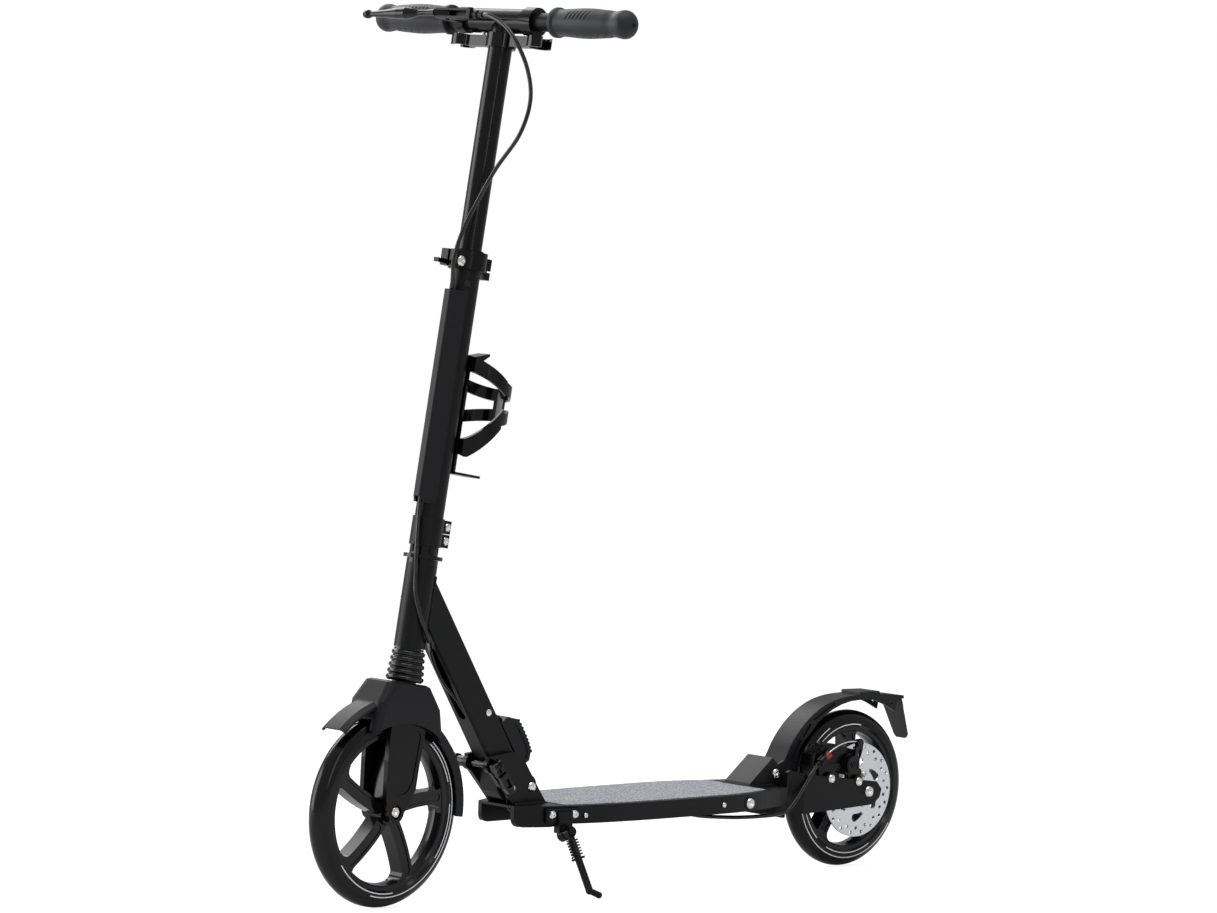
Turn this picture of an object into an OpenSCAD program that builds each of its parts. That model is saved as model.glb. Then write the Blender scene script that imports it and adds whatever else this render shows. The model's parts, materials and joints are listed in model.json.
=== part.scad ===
// Adult and child kick scooter with suspension at both ends, a folding stem,
// a height-adjustable T-bar, a rear disc brake, a stomp fender and a side stand.
// Millimetres. +X is forward, +Y is the rider's left, +Z is up.

/* [Stance] */
// Distance between the wheel axles
wheelbase = 776; // [690:1:900]
// Angle of the steering axis from the vertical
head_angle = 8.6; // [4:0.1:14]
// Lean of the parked scooter on its side stand
lean = 3.43; // [2:0.01:5]
// Steering angle of the parked scooter, to the left
parked_steer = 3.9; // [0:0.1:10]

/* [Wheels] */
// Diameter of the front wheel
front_wheel_d = 230; // [190:1:276]
// Diameter of the rear wheel
rear_wheel_d = 200; // [180:1:215]
// Width of both tyres
tyre_w = 29.2; // [24:0.1:31]
// Radial thickness of the cast tyre
tyre_h = 21; // [14:0.5:24]
// Width of the rim between the tyre's shoulders
rim_w = 24; // [20:0.5:26]
// Width of a spoke
spoke_w = 17; // [12:0.5:21]
// Radius of the spoke's sideways curve
spoke_bend_r = 235; // [160:5:400]
// Outer diameter of a wheel bearing
bearing_d = 22; // [19:0.5:26]
// Width of a wheel bearing
bearing_w = 7; // [5:0.5:9]
// Diameter of the axle bolts
axle_d = 8; // [6:0.5:10]

/* [Deck] */
// Height of the deck's top above the ground
deck_h = 113; // [105:1:125]
// Full width of the deck
deck_w = 148; // [124:1:178]
// Width of the neck at the deck's front end
neck_w = 64; // [62:1:76]
// Width of the deck at its tail
tail_w = 98; // [94:1:116]
// Thickness of the deck's top plate
deck_t = 3; // [2:0.5:5]
// Thickness of the side skirt
skirt_t = 2.5; // [1.5:0.5:4]
// Depth of the side skirt below the deck's top
skirt_h = 22; // [18:1:26]
// Depth of the two rails under the deck
rail_h = 26; // [22:1:30]
// Thickness of a rail
rail_t = 3.5; // [2:0.5:5]
// Thickness of the grip tape
grip_tape_t = 0.8; // [0.5:0.1:1.5]

/* [Rear suspension] */
// Distance from the rear axle forward to the swing arm's pivot
arm_len = 237; // [215:1:250]
// Thickness of the swing arm's side plates
arm_t = 5; // [3:0.5:6]
// Half the outer width of the arm in front, inside the skirt
arm_front_y = 41; // [39:0.5:44]
// Half the outer width of the arm at the axle
arm_rear_y = 47.5; // [46:0.5:50]
// Outer diameter of the suspension spring
shock_d = 18; // [16:0.5:18.5]
// Wire of the suspension spring
shock_wire = 3.4; // [2.4:0.1:3.6]

/* [Brake] */
// Diameter of the brake disc
rotor_d = 120; // [110:1:130]
// Thickness of the brake disc
rotor_t = 2; // [1.6:0.1:2.4]
// Distance from the wheel's middle to the brake disc
rotor_y = 28; // [26:0.5:29]
// Diameter of the brake cable's outer casing
cable_d = 5; // [4:0.5:5.5]

/* [Fender] */
// Width of the rear fender
fender_w = 44; // [40:1:50]
// Wall of the rear fender
fender_t = 3; // [2:0.5:4]

/* [Fold] */
// Thickness of the fold bracket's plates
bracket_t = 6.5; // [4:0.5:8]
// Diameter of the fold's bolts
fold_bolt_d = 8; // [6:0.5:10]

/* [Frame] */
// Width of the down tube
down_w = 30; // [26:1:36]
// Depth of the down tube
down_h = 38; // [34:1:44]
// Wall of the frame tubes
tube_wall = 2.5; // [2:0.5:4]
// Outer diameter of the head tube
head_d = 37.2; // [36:0.2:42]
// Length of the head tube
head_len = 100; // [85:1:120]

/* [Stem] */
// Diameter of the steerer and of the sliding upper tube
steerer_d = 28.6; // [25.4:0.1:28.6]
// Outer diameter of the lower stem tube
stem_d = 34; // [33.6:0.1:36]
// Height of the handlebar's middle above the stem clamp's top
bar_rise = 594; // [500:1:700]
// How far the handlebar goes down
bar_travel = 210; // [100:5:210]
// Length of the plastic cable cover on the stem
cable_cover_len = 253; // [200:1:260]

/* [Handlebar] */
// Overall width of the handlebar
bar_w = 416; // [360:2:500]
// Diameter of the handlebar's centre tube
tee_d = 29.4; // [29:0.2:32]
// Diameter of the pull-out grip tubes
grip_tube_d = 22.2; // [20:0.2:23]
// Diameter of the grips at their waist
grip_d = 32; // [29:0.5:36]

/* [Fork] */
// Distance of the axle in front of the steering axis
fork_offset = 3; // [0:0.5:8]
// Thickness of a fork leg
leg_t = 6.3; // [5:0.1:8]
// Travel of the front suspension
fork_travel = 12; // [6:1:12]

/* [Bottle cage] */
// Inside diameter of the bottle cage
cage_d = 65; // [60:1:75]

/* [Side stand] */
// Diameter of the stand's leg
stand_d = 9; // [7:0.5:11]

/* [Clearances] */
// Radial running clearance of a pin in its bore
run_gap = 0.05; // [0.02:0.01:0.1]
// Gap between faces that move past each other
side_gap = 0.4; // [0.3:0.1:0.6]
// Gap between the tyre and the fork's crown
tyre_gap = 5; // [3:0.5:8]

/* [Hidden] */
$fn = 64;

black = [0.10, 0.10, 0.11];
gloss_black = [0.05, 0.05, 0.06];
tape_grey = [0.33, 0.33, 0.36];
rubber_grey = [0.20, 0.20, 0.22];
steel = [0.75, 0.76, 0.78];

// Wheels and the steering axis
front_r = front_wheel_d / 2;
rear_r = rear_wheel_d / 2;
crown_r = tyre_w / 2 - 0.4;
axle_r = axle_d / 2;
front_x = wheelbase / 2;
rear_x = -wheelbase / 2;
axle_s = (front_r - fork_offset * sin(head_angle)) / cos(head_angle);
steer_x = front_x - fork_offset * cos(head_angle) + axle_s * sin(head_angle);
deck_z = deck_h - deck_t;

// Heights along the steering axis, from the ground up
crown_s = axle_s + front_r + tyre_gap;
crown_h = 21;
crown_top_s = crown_s + crown_h;
boss_top_s = crown_top_s + 11;
boss_r = 19.5;
bellows_h = 41;
head_s = boss_top_s + bellows_h;
head_top_s = head_s + head_len;
headset_h = 6;
washer_t = 4.4;
washer_s = head_top_s + headset_h;
nut_s = washer_s + washer_t;
nut_h = 10.6;
stem_s = nut_s + nut_h + 0.4;
clamp_h = 34;
stem_len = 353;
stem_top_s = stem_s + stem_len;
cover_s = stem_s + clamp_h + 16;
cover_top_s = cover_s + cable_cover_len;
collar_h = 22;
collar_s = stem_top_s - collar_h - 2;
bar_s = stem_s + clamp_h + bar_rise;
button_s = cover_top_s + 9;

steerer_r = steerer_d / 2;
stem_r = stem_d / 2;
head_r = head_d / 2;
clamp_r = stem_r + 2;

// Fold bracket, its bolts and the down tube
fold_x = 172;
fold_z = deck_h + 20.2;
lock_x = 205.5;
lock_z = fold_z - 0.6;
bracket_in_y = down_w / 2 + 0.5;
bracket_y = bracket_in_y + bracket_t;
tube_foot_x = 210.5;
tube_foot_z = deck_h + 51.9;
join_s = head_s + 70;
join_x = steer_x - join_s * sin(head_angle);
join_z = join_s * cos(head_angle);
down_len = norm([join_x - tube_foot_x, join_z - tube_foot_z]);
down_angle = atan2(join_z - tube_foot_z, join_x - tube_foot_x);
clamp_x = 240;
clamp_z = deck_h + 49;
lug_r = 14.5;
notch_r = fold_bolt_d / 2 + side_gap;

// Deck outline
deck_front_x = 208;
deck_tail_x = -240;
waist_x = -95;
rail_y = neck_w / 2 - skirt_t;
rail_tail_x = -224;

// Swing arm
pivot_x = rear_x + arm_len;
pivot_z = deck_h - 12;
arm_hub_r = 8.5;
pivot_seat_y = deck_half(pivot_x) + 1.6;
arm_front_in = arm_front_y - arm_t;
arm_rear_in = arm_rear_y - arm_t;
jog_x = -255;
jog_end_x = -271;
shock_z = deck_h - 26;
shock_front_x = -137;
shock_rear_x = -213;

// Rear fender
fender_pivot_x = -244;
fender_pivot_z = deck_h + 14.7;
fender_y = fender_w / 2;
cheek_t = 4;

// Calliper
boss_x = rear_x + 32;
boss_z = rear_r + 36;
rotor_r = rotor_d / 2;

// Mud flap under the fender's tail
flap_x = -466;
flap_tilt = 24;
flap_t = 8;
flap_len = 60;
flap_tip_x = flap_x - flap_t * cos(flap_tilt) - flap_len * sin(flap_tilt);

// Whole-scooter placement: it leans on its stand with its lowest points on the ground
tyre_drop = crown_r * (1 - cos(lean));
stand_foot_y = 103;
stand_foot_x = 130;
stand_heel = [141, 98, 15.5];
stand_hinge = [152, 70, 83];
tyre_reach = (front_r - crown_r) * cos(parked_steer) + crown_r;
shift_x = -(front_x + tyre_reach + flap_tip_x) / 2;
shift_y = -bar_s * cos(head_angle) * sin(lean);
cord_sides = 8;
// Gap where one body's length of cable meets the next body's
cord_gap = 0.9;

module standing() {
  translate([shift_x, shift_y, tyre_drop])
    rotate([-lean, 0, 0])
      children();
}
module on_head() {
  standing() translate([steer_x, 0, 0]) rotate([0, -head_angle, 0]) children();
}
module on_stem() {
  on_head() rotate([0, 0, parked_steer]) children();
}
module both_sides() {
  children();
  mirror([0, 1, 0]) children();
}
// A cylinder along Y, from y0 to y1
module y_rod(x, z, r, y0, y1) {
  translate([x, y1, z]) rotate([90, 0, 0]) cylinder(r = r, h = y1 - y0);
}
// A ring along Y, from y0 to y1
module y_ring(x, z, r, r_in, y0, y1) {
  difference() {
    y_rod(x, z, r, y0, y1);
    y_rod(x, z, r_in, y0 - 1, y1 + 1);
  }
}
// A ring along the local Z axis, from z0 to z1
module z_ring(r, r_in, z0, z1) {
  translate([0, 0, z0]) difference() {
    cylinder(r = r, h = z1 - z0);
    translate([0, 0, -1]) cylinder(r = r_in, h = z1 - z0 + 2);
  }
}
// A side view drawn in X and Z, made solid from y0 to y1
module side_plate(points, y0, y1) {
  translate([0, y1, 0]) rotate([90, 0, 0]) linear_extrude(y1 - y0) polygon(points);
}
// A round bar from one point to another
module bar_between(a, b, r) {
  d = b - a;
  translate(a)
    rotate([0, acos(d[2] / norm(d)), atan2(d[1], d[0])])
      cylinder(r = r, h = norm(d));
}
// A rectangle with round corners, about the origin
module round_rect(w, h, r) {
  square([w - 2 * r, h], center = true);
  square([w, h - 2 * r], center = true);
  for (x = [-1, 1], y = [-1, 1])
    translate([x * (w / 2 - r), y * (h / 2 - r)]) circle(r);
}
// A button-head screw whose head stands on the plane y, facing +Y
module screw_head(x, z, y, r) {
  translate([x, y, z]) rotate([-90, 0, 0]) difference() {
    rotate_extrude() polygon([
      [0, 0], [r, 0], [r, r * 0.22], [r * 0.86, r * 0.45], [r * 0.55, r * 0.62], [0, r * 0.62]
    ]);
    translate([0, 0, r * 0.2]) cylinder(r = r * 0.42, h = r, $fn = 6);
  }
}
// A hex nut whose face stands on the plane y, facing +Y
module nut(x, z, y, r, h) {
  translate([x, y, z]) rotate([-90, 0, 0]) cylinder(r = r, h = h, $fn = 6);
}

// Cords: a smooth route through hand-set points, swept with an eight-sided section
function unit(v) = v / norm(v);
function spline_point(p, i, t) =
  let (a = p[max(i - 1, 0)], b = p[i], c = p[i + 1], d = p[min(i + 2, len(p) - 1)])
  0.5 * ((2 * b) + (c - a) * t + (2 * a - 5 * b + 4 * c - d) * t * t
    + (3 * b - a - 3 * c + d) * t * t * t);
function route(p, steps) = [
  for (i = [0 : len(p) - 2], k = [0 : steps - 1]) spline_point(p, i, k / steps),
  p[len(p) - 1]
];
function cord_ring(path, i, side, r, shift) =
  let (
    t = unit(path[min(i + 1, len(path) - 1)] - path[max(i - 1, 0)]),
    u = unit(cross(t, side)),
    v = cross(t, u)
  )
  [for (k = [0 : cord_sides - 1])
    let (a = 360 * k / cord_sides) path[i] + shift * t + r * (cos(a) * u + sin(a) * v)];
module cord(path, first, last, side, d) {
  n = last - first;
  rings = [for (i = [first : last]) each cord_ring(path, i, side, d / 2, i == first ? cord_gap : 0)];
  polyhedron(
    points = rings,
    faces = [
      [for (k = [0 : cord_sides - 1]) k],
      for (i = [0 : n - 1], k = [0 : cord_sides - 1])
        let (m = (k + 1) % cord_sides, a = i * cord_sides, b = a + cord_sides)
        each [[a + k, b + k, b + m], [a + k, b + m, a + m]],
      [for (k = [cord_sides - 1 : -1 : 0]) n * cord_sides + k]
    ]
  );
}
// A helical spring about the local Z axis, with a five-sided wire section
module coil(r, wire, length, turns) {
  steps = 12;
  n = turns * steps;
  pitch = (length - wire) / n;
  points = [for (i = [0 : n]) [r * cos(360 * i / steps), r * sin(360 * i / steps), i * pitch]];
  translate([0, 0, wire / 2]) spring_wire(points, wire);
}
module spring_wire(path, wire) {
  sides = 5;
  n = len(path) - 1;
  rings = [for (i = [0 : n])
    let (out = unit([path[i][0], path[i][1], 0]))
    for (k = [0 : sides - 1])
      path[i] + wire / 2 * (cos(72 * k) * out + sin(72 * k) * [0, 0, 1])];
  polyhedron(
    points = rings,
    faces = [
      [for (k = [0 : sides - 1]) k],
      for (i = [0 : n - 1], k = [0 : sides - 1])
        let (m = (k + 1) % sides, a = i * sides, b = a + sides)
        each [[a + k, b + k, b + m], [a + k, b + m, a + m]],
      [for (k = [sides - 1 : -1 : 0]) n * sides + k]
    ]
  );
}

// ---- Deck -------------------------------------------------------------------

// Half the deck's width at a place along it: a neck, a broad waist and a tapered tail
function deck_half(x) =
  x > waist_x
    ? let (t = (deck_front_x - x) / (deck_front_x - waist_x))
      neck_w / 2 + (deck_w - neck_w) / 2 * (1 - pow(1 - t, 3.8))
    : let (t = min(1, (waist_x - x) / (waist_x - deck_tail_x)))
      tail_w / 2 + (deck_w - tail_w) / 2 * pow(1 - pow(t, 2.3), 1.5);
function deck_side(x_from, x_to, inset) = [
  for (i = [0 : 28]) let (x = x_from + (x_to - x_from) * i / 28) [x, deck_half(x) - inset]
];
module deck_outline(x_from, x_to, inset) {
  side = deck_side(x_from, x_to, inset);
  polygon(concat(side, [for (i = [len(side) - 1 : -1 : 0]) [side[i][0], -side[i][1]]]));
}
module skirt_outline() {
  outer = deck_side(deck_front_x, deck_tail_x, 0);
  inner = deck_side(deck_front_x, deck_tail_x, skirt_t);
  polygon(concat(outer, [for (i = [len(inner) - 1 : -1 : 0]) inner[i]]));
}
// Side view of the skirt and the rails, with the round lower corner at the front
module rail_side(depth, tail_x, neck_depth) {
  corner = 11;
  top = deck_z;
  low = deck_h - neck_depth;
  difference() {
    polygon([
      [tail_x, top], [tail_x, deck_h - depth], [148, deck_h - depth], [165, low],
      [deck_front_x, low], [deck_front_x, top]
    ]);
    translate([deck_front_x - corner, low - 1]) square([corner + 1, corner + 1]);
  }
  translate([deck_front_x - corner, low + corner]) circle(corner);
}
module deck_pan() {
  color(black) standing() difference() {
    union() {
      translate([0, 0, deck_z])
        linear_extrude(deck_t) deck_outline(deck_front_x, deck_tail_x, 0);
      both_sides() intersection() {
        translate([0, 0, deck_h - rail_h - 1]) linear_extrude(rail_h) skirt_outline();
        translate([0, deck_w, 0]) rotate([90, 0, 0])
          linear_extrude(deck_w) rail_side(skirt_h, deck_tail_x, rail_h - 0.5);
      }
      // Spacers that carry the swing arm's bolt
      both_sides() y_rod(pivot_x, pivot_z, 8, arm_front_y + side_gap, pivot_seat_y);
    }
    y_rod(pivot_x, pivot_z, axle_r + run_gap, -deck_w, deck_w);
    // Hole for the brake cable, under the down tube
    translate([189, 0, deck_z - 1]) cylinder(r = cable_d / 2 + 1, h = deck_t + 2);
    for (s = side_screws)
      both_sides() y_rod(s[0], s[1], 1.6, deck_half(s[0]) - 2 * skirt_t, deck_half(s[0]) + 1);
  }
}
side_screws = [[119.5, deck_h - 12.3], [-103, deck_h - 11]];
module griptape() {
  color(tape_grey) standing() translate([0, 0, deck_h]) linear_extrude(grip_tape_t)
    deck_outline(144, -196, 6);
}
module deck_rails() {
  color(black) standing() both_sides() difference() {
    union() {
      translate([0, rail_y, 0]) rotate([90, 0, 0])
        linear_extrude(rail_t) rail_side(rail_h, rail_tail_x, rail_h);
      // Half of the plate that the suspension spring pushes against
      translate([rail_tail_x + 4, 0, deck_h - rail_h - 8])
        cube([5, rail_y - rail_t, rail_h + 8 - deck_t]);
      // Half of the tie plate in front
      translate([96, 0, deck_h - rail_h + 2]) cube([5, rail_y - rail_t, rail_h - 2 - deck_t]);
    }
    y_rod(pivot_x, pivot_z, axle_r + run_gap, -1, deck_w);
    // Slot for the suspension rod, and holes for the cable
    translate([rail_tail_x + 3, 0, shock_z]) rotate([0, 90, 0]) {
      cylinder(r = 6, h = 7);
      translate([-9, -6, 0]) cube([18, 12, 7]);
    }
    translate([95, 18, deck_h - 12]) rotate([0, 90, 0]) cylinder(r = cable_d / 2 + 1, h = 7);
  }
}
module bracket_side() {
  difference() {
    union() {
      polygon([
        [243, deck_h + 60], [205, deck_h + 64], [194, deck_h + 62.5], [188, deck_h + 58],
        [177, deck_h + 42], [147, deck_h], [201, deck_h], [239, deck_h + 41.7]
      ]);
      translate([clamp_x - 3, clamp_z]) circle(9);
    }
    translate([fold_x, fold_z]) circle(fold_bolt_d / 2 + run_gap);
    translate([lock_x, lock_z]) circle(fold_bolt_d / 2 + run_gap);
    translate([clamp_x - 3, clamp_z]) circle(4.05);
  }
}
module fold_bracket() {
  color(black) standing() both_sides()
    translate([0, bracket_y, 0]) rotate([90, 0, 0]) linear_extrude(bracket_t) bracket_side();
}
module fender_bracket() {
  cheek = [
    [-197, deck_h], [-200, deck_h + 4.5], [-238, deck_h + 35], [-246, deck_h + 27],
    [-257, deck_h + 16], [-262, deck_h + 2], [-240, deck_h]
  ];
  ramp = [
    [-197, deck_h], [-200, deck_h + 4.5], [-238, deck_h + 35], [-238.5, deck_h + 31],
    [-204, deck_h + 3.5], [-204, deck_h]
  ];
  color(black) standing() difference() {
    union() {
      both_sides() side_plate(cheek, fender_y - cheek_t, fender_y);
      side_plate(ramp, -fender_y, fender_y);
    }
    y_rod(fender_pivot_x, fender_pivot_z, axle_r + run_gap, -deck_w, deck_w);
  }
}
module deck_bolts() {
  color(steel) standing() {
    // Swing arm bolt with its nut
    y_rod(pivot_x, pivot_z, axle_r, -pivot_seat_y - 3, pivot_seat_y);
    screw_head(pivot_x, pivot_z, pivot_seat_y, 6.5);
    nut(pivot_x, pivot_z, -pivot_seat_y - 6, 7, 6);
    // Fold pivot bolt and lock bolt
    for (b = [[fold_x, fold_z], [lock_x, lock_z]]) {
      y_rod(b[0], b[1], fold_bolt_d / 2, -bracket_y - 3, bracket_y);
      screw_head(b[0], b[1], bracket_y, 6);
      nut(b[0], b[1], -bracket_y - 5.5, 6.6, 5.5);
    }
    // Fender pivot bolt
    y_rod(fender_pivot_x, fender_pivot_z, axle_r, -fender_y - 3, fender_y);
    screw_head(fender_pivot_x, fender_pivot_z, fender_y, 6);
    nut(fender_pivot_x, fender_pivot_z, -fender_y - 5, 6.4, 5);
    // Side screws that tie the skirt to the rails
    for (s = side_screws) both_sides() {
      y_rod(s[0], s[1], 1.55, deck_half(s[0]) - skirt_t - 1, deck_half(s[0]) + 0.8);
      screw_head(s[0], s[1], deck_half(s[0]) + 0.75, 3.2);
    }
    // Side stand bolts
    for (s = stand_bolts)
      translate([s[0], stand_plate_y(s[0]) + 4, s[1]]) rotate([0, 0, -atan(stand_slope)])
        screw_head(0, 0, 0, 5);
  }
}

// ---- Side stand and fold clamp -------------------------------------------------

stand_bolts = [[166, deck_h - 10], [138, deck_h - 9.7]];
stand_axis_tilt = 67;
stand_foot_r = 4;
stand_tip = [
  stand_foot_x, stand_foot_y,
  (stand_foot_r - tyre_drop + stand_foot_y * sin(lean)) / cos(lean)
];
stand_slope = 0.297;
function stand_plate_y(x) = deck_half(152) + 0.6 - stand_slope * (x - 152);
module on_stand_hinge() {
  translate(stand_hinge) rotate([-stand_axis_tilt, 0, 0]) children();
}
module stand_bracket() {
  plate = [
    [174, stand_plate_y(174)], [130, stand_plate_y(130)],
    [130, stand_plate_y(130) + 4], [174, stand_plate_y(174) + 4]
  ];
  web = [[161, stand_plate_y(161)], [143, stand_plate_y(143)], [143, 66], [161, 62]];
  color(black) standing() difference() {
    union() {
      translate([0, 0, deck_h - 20]) linear_extrude(17.5) polygon(plate);
      translate([0, 0, deck_h - 32]) linear_extrude(26) polygon(web);
      on_stand_hinge() {
        translate([0, 0, -14]) cylinder(r = 8, h = 9);
        translate([0, 0, -6]) cylinder(r = 3, h = 12);
        translate([0, 0, 5.2]) cylinder(r = 5.5, h = 2);
      }
    }
    on_stand_hinge() translate([0, 0, -5]) z_ring(9.5, 3, 0, 10.2);
  }
}
stand_dir = unit(stand_heel - stand_hinge);
module stand_leg() {
  color(black) standing() {
    difference() {
      union() {
        on_stand_hinge() translate([0, 0, -4.6]) cylinder(r = 7, h = 9.4);
        bar_between(stand_hinge, stand_heel, stand_d / 2);
        bar_between(stand_hinge + 32 * stand_dir, stand_hinge + 34.5 * stand_dir, 8.5);
        translate(stand_heel) sphere(stand_d / 2 + 0.2);
        bar_between(stand_heel, stand_tip, stand_foot_r - 0.2);
        translate(stand_tip) sphere(stand_foot_r);
      }
      on_stand_hinge() translate([0, 0, -10]) cylinder(r = 3 + run_gap, h = 20);
    }
  }
}
module stand_spring() {
  d = stand_dir;
  color(steel) standing() translate(stand_hinge + 8.4 * d)
    rotate([0, acos(d[2]), atan2(d[1], d[0])]) coil(stand_d / 2 + 2.4, 2, 23.2, 6);
}
clamp_pin_y = bracket_y + 8;
lever_tilt = 33.7;
module on_clamp_pin() {
  translate([clamp_x - 3, clamp_pin_y, clamp_z]) rotate([0, lever_tilt, 0]) children();
}
module clamp_axle() {
  color(steel) standing() {
    y_rod(clamp_x - 3, clamp_z, 4, -bracket_y - 18, bracket_y + 1.2);
    y_rod(clamp_x - 3, clamp_z, 2.4, bracket_y, clamp_pin_y);
    y_rod(clamp_x - 3, clamp_z, 8.5, -bracket_y - 25, -bracket_y - 17);
    y_ring(clamp_x - 3, clamp_z, 6.5, 4, -bracket_y - 17, -bracket_y);
    y_ring(clamp_x - 3, clamp_z, 8, 4, bracket_y, bracket_y + 1.2);
    on_clamp_pin() {
      translate([-2.5, 0, 0]) rotate([0, 90, 0]) cylinder(r = 5, h = 5);
      translate([-6.6, 0, 0]) rotate([0, 90, 0]) cylinder(r = 2.5, h = 13.2);
    }
  }
}
module clamp_lever() {
  color(gloss_black) standing() on_clamp_pin() difference() {
    union() {
      for (x = [-6.4, 2.8]) translate([x, 0, 0]) rotate([0, 90, 0]) cylinder(r = 6.4, h = 3.6);
      for (x = [-6.4, 2.8]) translate([x, -2, -13]) cube([3.6, 6, 13]);
      translate([0, 7, 0]) rotate([90, 0, 0]) linear_extrude(6)
        polygon([[-6.4, -12], [6.4, -12], [7, -28], [5, -37], [-3, -40], [-7, -30]]);
    }
    translate([-8, 0, 0]) rotate([0, 90, 0]) cylinder(r = 2.5 + run_gap, h = 16);
    translate([0, 12, 6]) rotate([90, 0, 0]) linear_extrude(8)
      polygon([[-3.5, -25], [3.5, -25], [4, -35], [-3.5, -38]]);
  }
}
rivet_x = 239.6;
rivet_z = deck_h + 112;
module release_pedal() {
  outline = [
    [215.3, deck_h + 98], [208, deck_h + 104], [203, deck_h + 105], [187, deck_h + 100],
    [184, deck_h + 96], [171, deck_h + 76], [165.5, deck_h + 63], [168, deck_h + 51],
    [177, deck_h + 46], [181, deck_h + 46]
  ];
  hollow = [
    [209, deck_h + 92], [201, deck_h + 98], [190, deck_h + 95], [176, deck_h + 74],
    [170.5, deck_h + 62], [172, deck_h + 54], [179, deck_h + 52]
  ];
  lip = [187, deck_h + 100];
  toe = [165.5, deck_h + 62];
  arm = [
    [rivet_x - 5, rivet_z + 6.3], [rivet_x + 5, rivet_z - 6.3], [222, deck_h + 90],
    [205, deck_h + 82], [196, deck_h + 98], [212, deck_h + 104]
  ];
  color(black) standing() difference() {
    union() {
      difference() {
        side_plate(outline, -12, 12);
        side_plate(hollow, -9.5, 9.5);
        side_plate(hollow, 11, 13);
        side_plate(hollow, -13, -11);
      }
      for (i = [0 : 8]) {
        t = i / 8;
        y_rod(lip[0] + (toe[0] - lip[0]) * t - 1.5 * sin(180 * t), lip[1] + (toe[1] - lip[1]) * t,
          1.8, -12, 12);
      }
      side_plate(arm, -6, 6);
      y_rod(rivet_x, rivet_z, 8, -6, 6);
    }
    y_rod(rivet_x, rivet_z, 4 + run_gap, -20, 20);
  }
}

// ---- Wheels ---------------------------------------------------------------------

// Cross-section of a tyre, with X as the radius: a round tread on a flat-sided band
module tyre_section(r) {
  seat = r - tyre_h;
  half = tyre_w / 2;
  translate([r - crown_r, 0]) intersection() {
    circle(crown_r);
    translate([0, -crown_r]) square(2 * crown_r);
  }
  polygon([
    [seat, -rim_w / 2], [seat + 2.5, -half], [r - crown_r, -crown_r], [r - crown_r, crown_r],
    [seat + 2.5, half], [seat, rim_w / 2]
  ]);
}
module tyre(r) {
  rotate([90, 0, 0]) rotate_extrude() tyre_section(r);
}
// A cast rim with five swept spokes, each with a long pocket on both faces
module rim(r, hub_r, phase) {
  seat = r - tyre_h - 0.02;
  ring_in = seat - 6;
  difference() {
    union() {
      rotate([90, 0, 0]) rotate_extrude() polygon([
        [ring_in, -rim_w / 2 + 1.5], [ring_in + 1.5, -rim_w / 2], [seat, -rim_w / 2],
        [seat, rim_w / 2], [ring_in + 1.5, rim_w / 2], [ring_in, rim_w / 2 - 1.5],
        [ring_in - 2, 2], [ring_in - 2, -2]
      ]);
      rotate([90, 0, 0]) cylinder(r = hub_r, h = 28, center = true);
      rotate([90, 0, 0]) for (i = [0 : 4]) rotate([0, 0, phase + 72 * i])
        linear_extrude(rim_w - 4, center = true) {
          spoke(spoke_w, 8, ring_in + 2);
          spoke_flare(ring_in);
        }
    }
    rotate([90, 0, 0]) for (i = [0 : 4], side = [-1, 1]) rotate([0, 0, phase + 72 * i])
      translate([0, 0, side * (rim_w / 2 + 3)])
        linear_extrude(12, center = true) {
          spoke(spoke_w - 8, hub_r + 8, ring_in - 7);
          for (r = [hub_r + 8, ring_in - 7]) on_spoke(r) circle((spoke_w - 8) / 2);
        }
    rotate([90, 0, 0]) cylinder(r = bearing_d / 2, h = 40, center = true);
  }
}
// Side view of one spoke, or of its pocket: a band on an arc through the wheel's centre
module spoke(w, r_from, r_to) {
  intersection() {
    translate([0, spoke_bend_r]) difference() {
      circle(spoke_bend_r + w / 2);
      circle(spoke_bend_r - w / 2);
    }
    difference() {
      circle(r_to);
      circle(r_from);
    }
    translate([0, -50]) square([200, 100]);
  }
}
// Two bearings with the spacer tube between them
// The middle of a bent spoke at a distance from the hub's centre
module on_spoke(r) {
  t = 2 * asin(r / (2 * spoke_bend_r));
  translate([spoke_bend_r * sin(t), spoke_bend_r * (1 - cos(t))]) rotate(t) children();
}
// Hollow fillets where a spoke meets the ring
module spoke_flare(r) {
  f = 10;
  intersection() {
    circle(r + 2);
    on_spoke(r) for (m = [0, 1]) mirror([0, m]) difference() {
      translate([-f, 0]) square([f + 6, spoke_w / 2 + f]);
      translate([-f, spoke_w / 2 + f]) circle(f);
    }
  }
}
module wheel_bearings(half) {
  for (m = [0, 1]) mirror([0, m, 0])
    y_ring(0, 0, bearing_d / 2 - 0.03, axle_r + run_gap, half - bearing_w, half);
  y_ring(0, 0, axle_r + 2.5, axle_r + run_gap, bearing_w - half, half - bearing_w);
}
module at_rear_axle() {
  standing() translate([rear_x, 0, rear_r]) children();
}
rear_hub_y = 14;
module rear_tyre() {
  color(gloss_black) at_rear_axle() tyre(rear_r);
}
module rear_rim() {
  color(black) at_rear_axle() difference() {
    union() {
      mirror([1, 0, 0]) rim(rear_r, 21, 7.7);
      y_ring(0, 0, 27, bearing_d / 2, rear_hub_y - 2, rotor_y - rotor_t);
    }
    for (i = [0 : 5]) rotate([0, 60 * i, 0]) y_rod(22, 0, 2.5, rotor_y - rotor_t - 8, rotor_y);
  }
}
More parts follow.
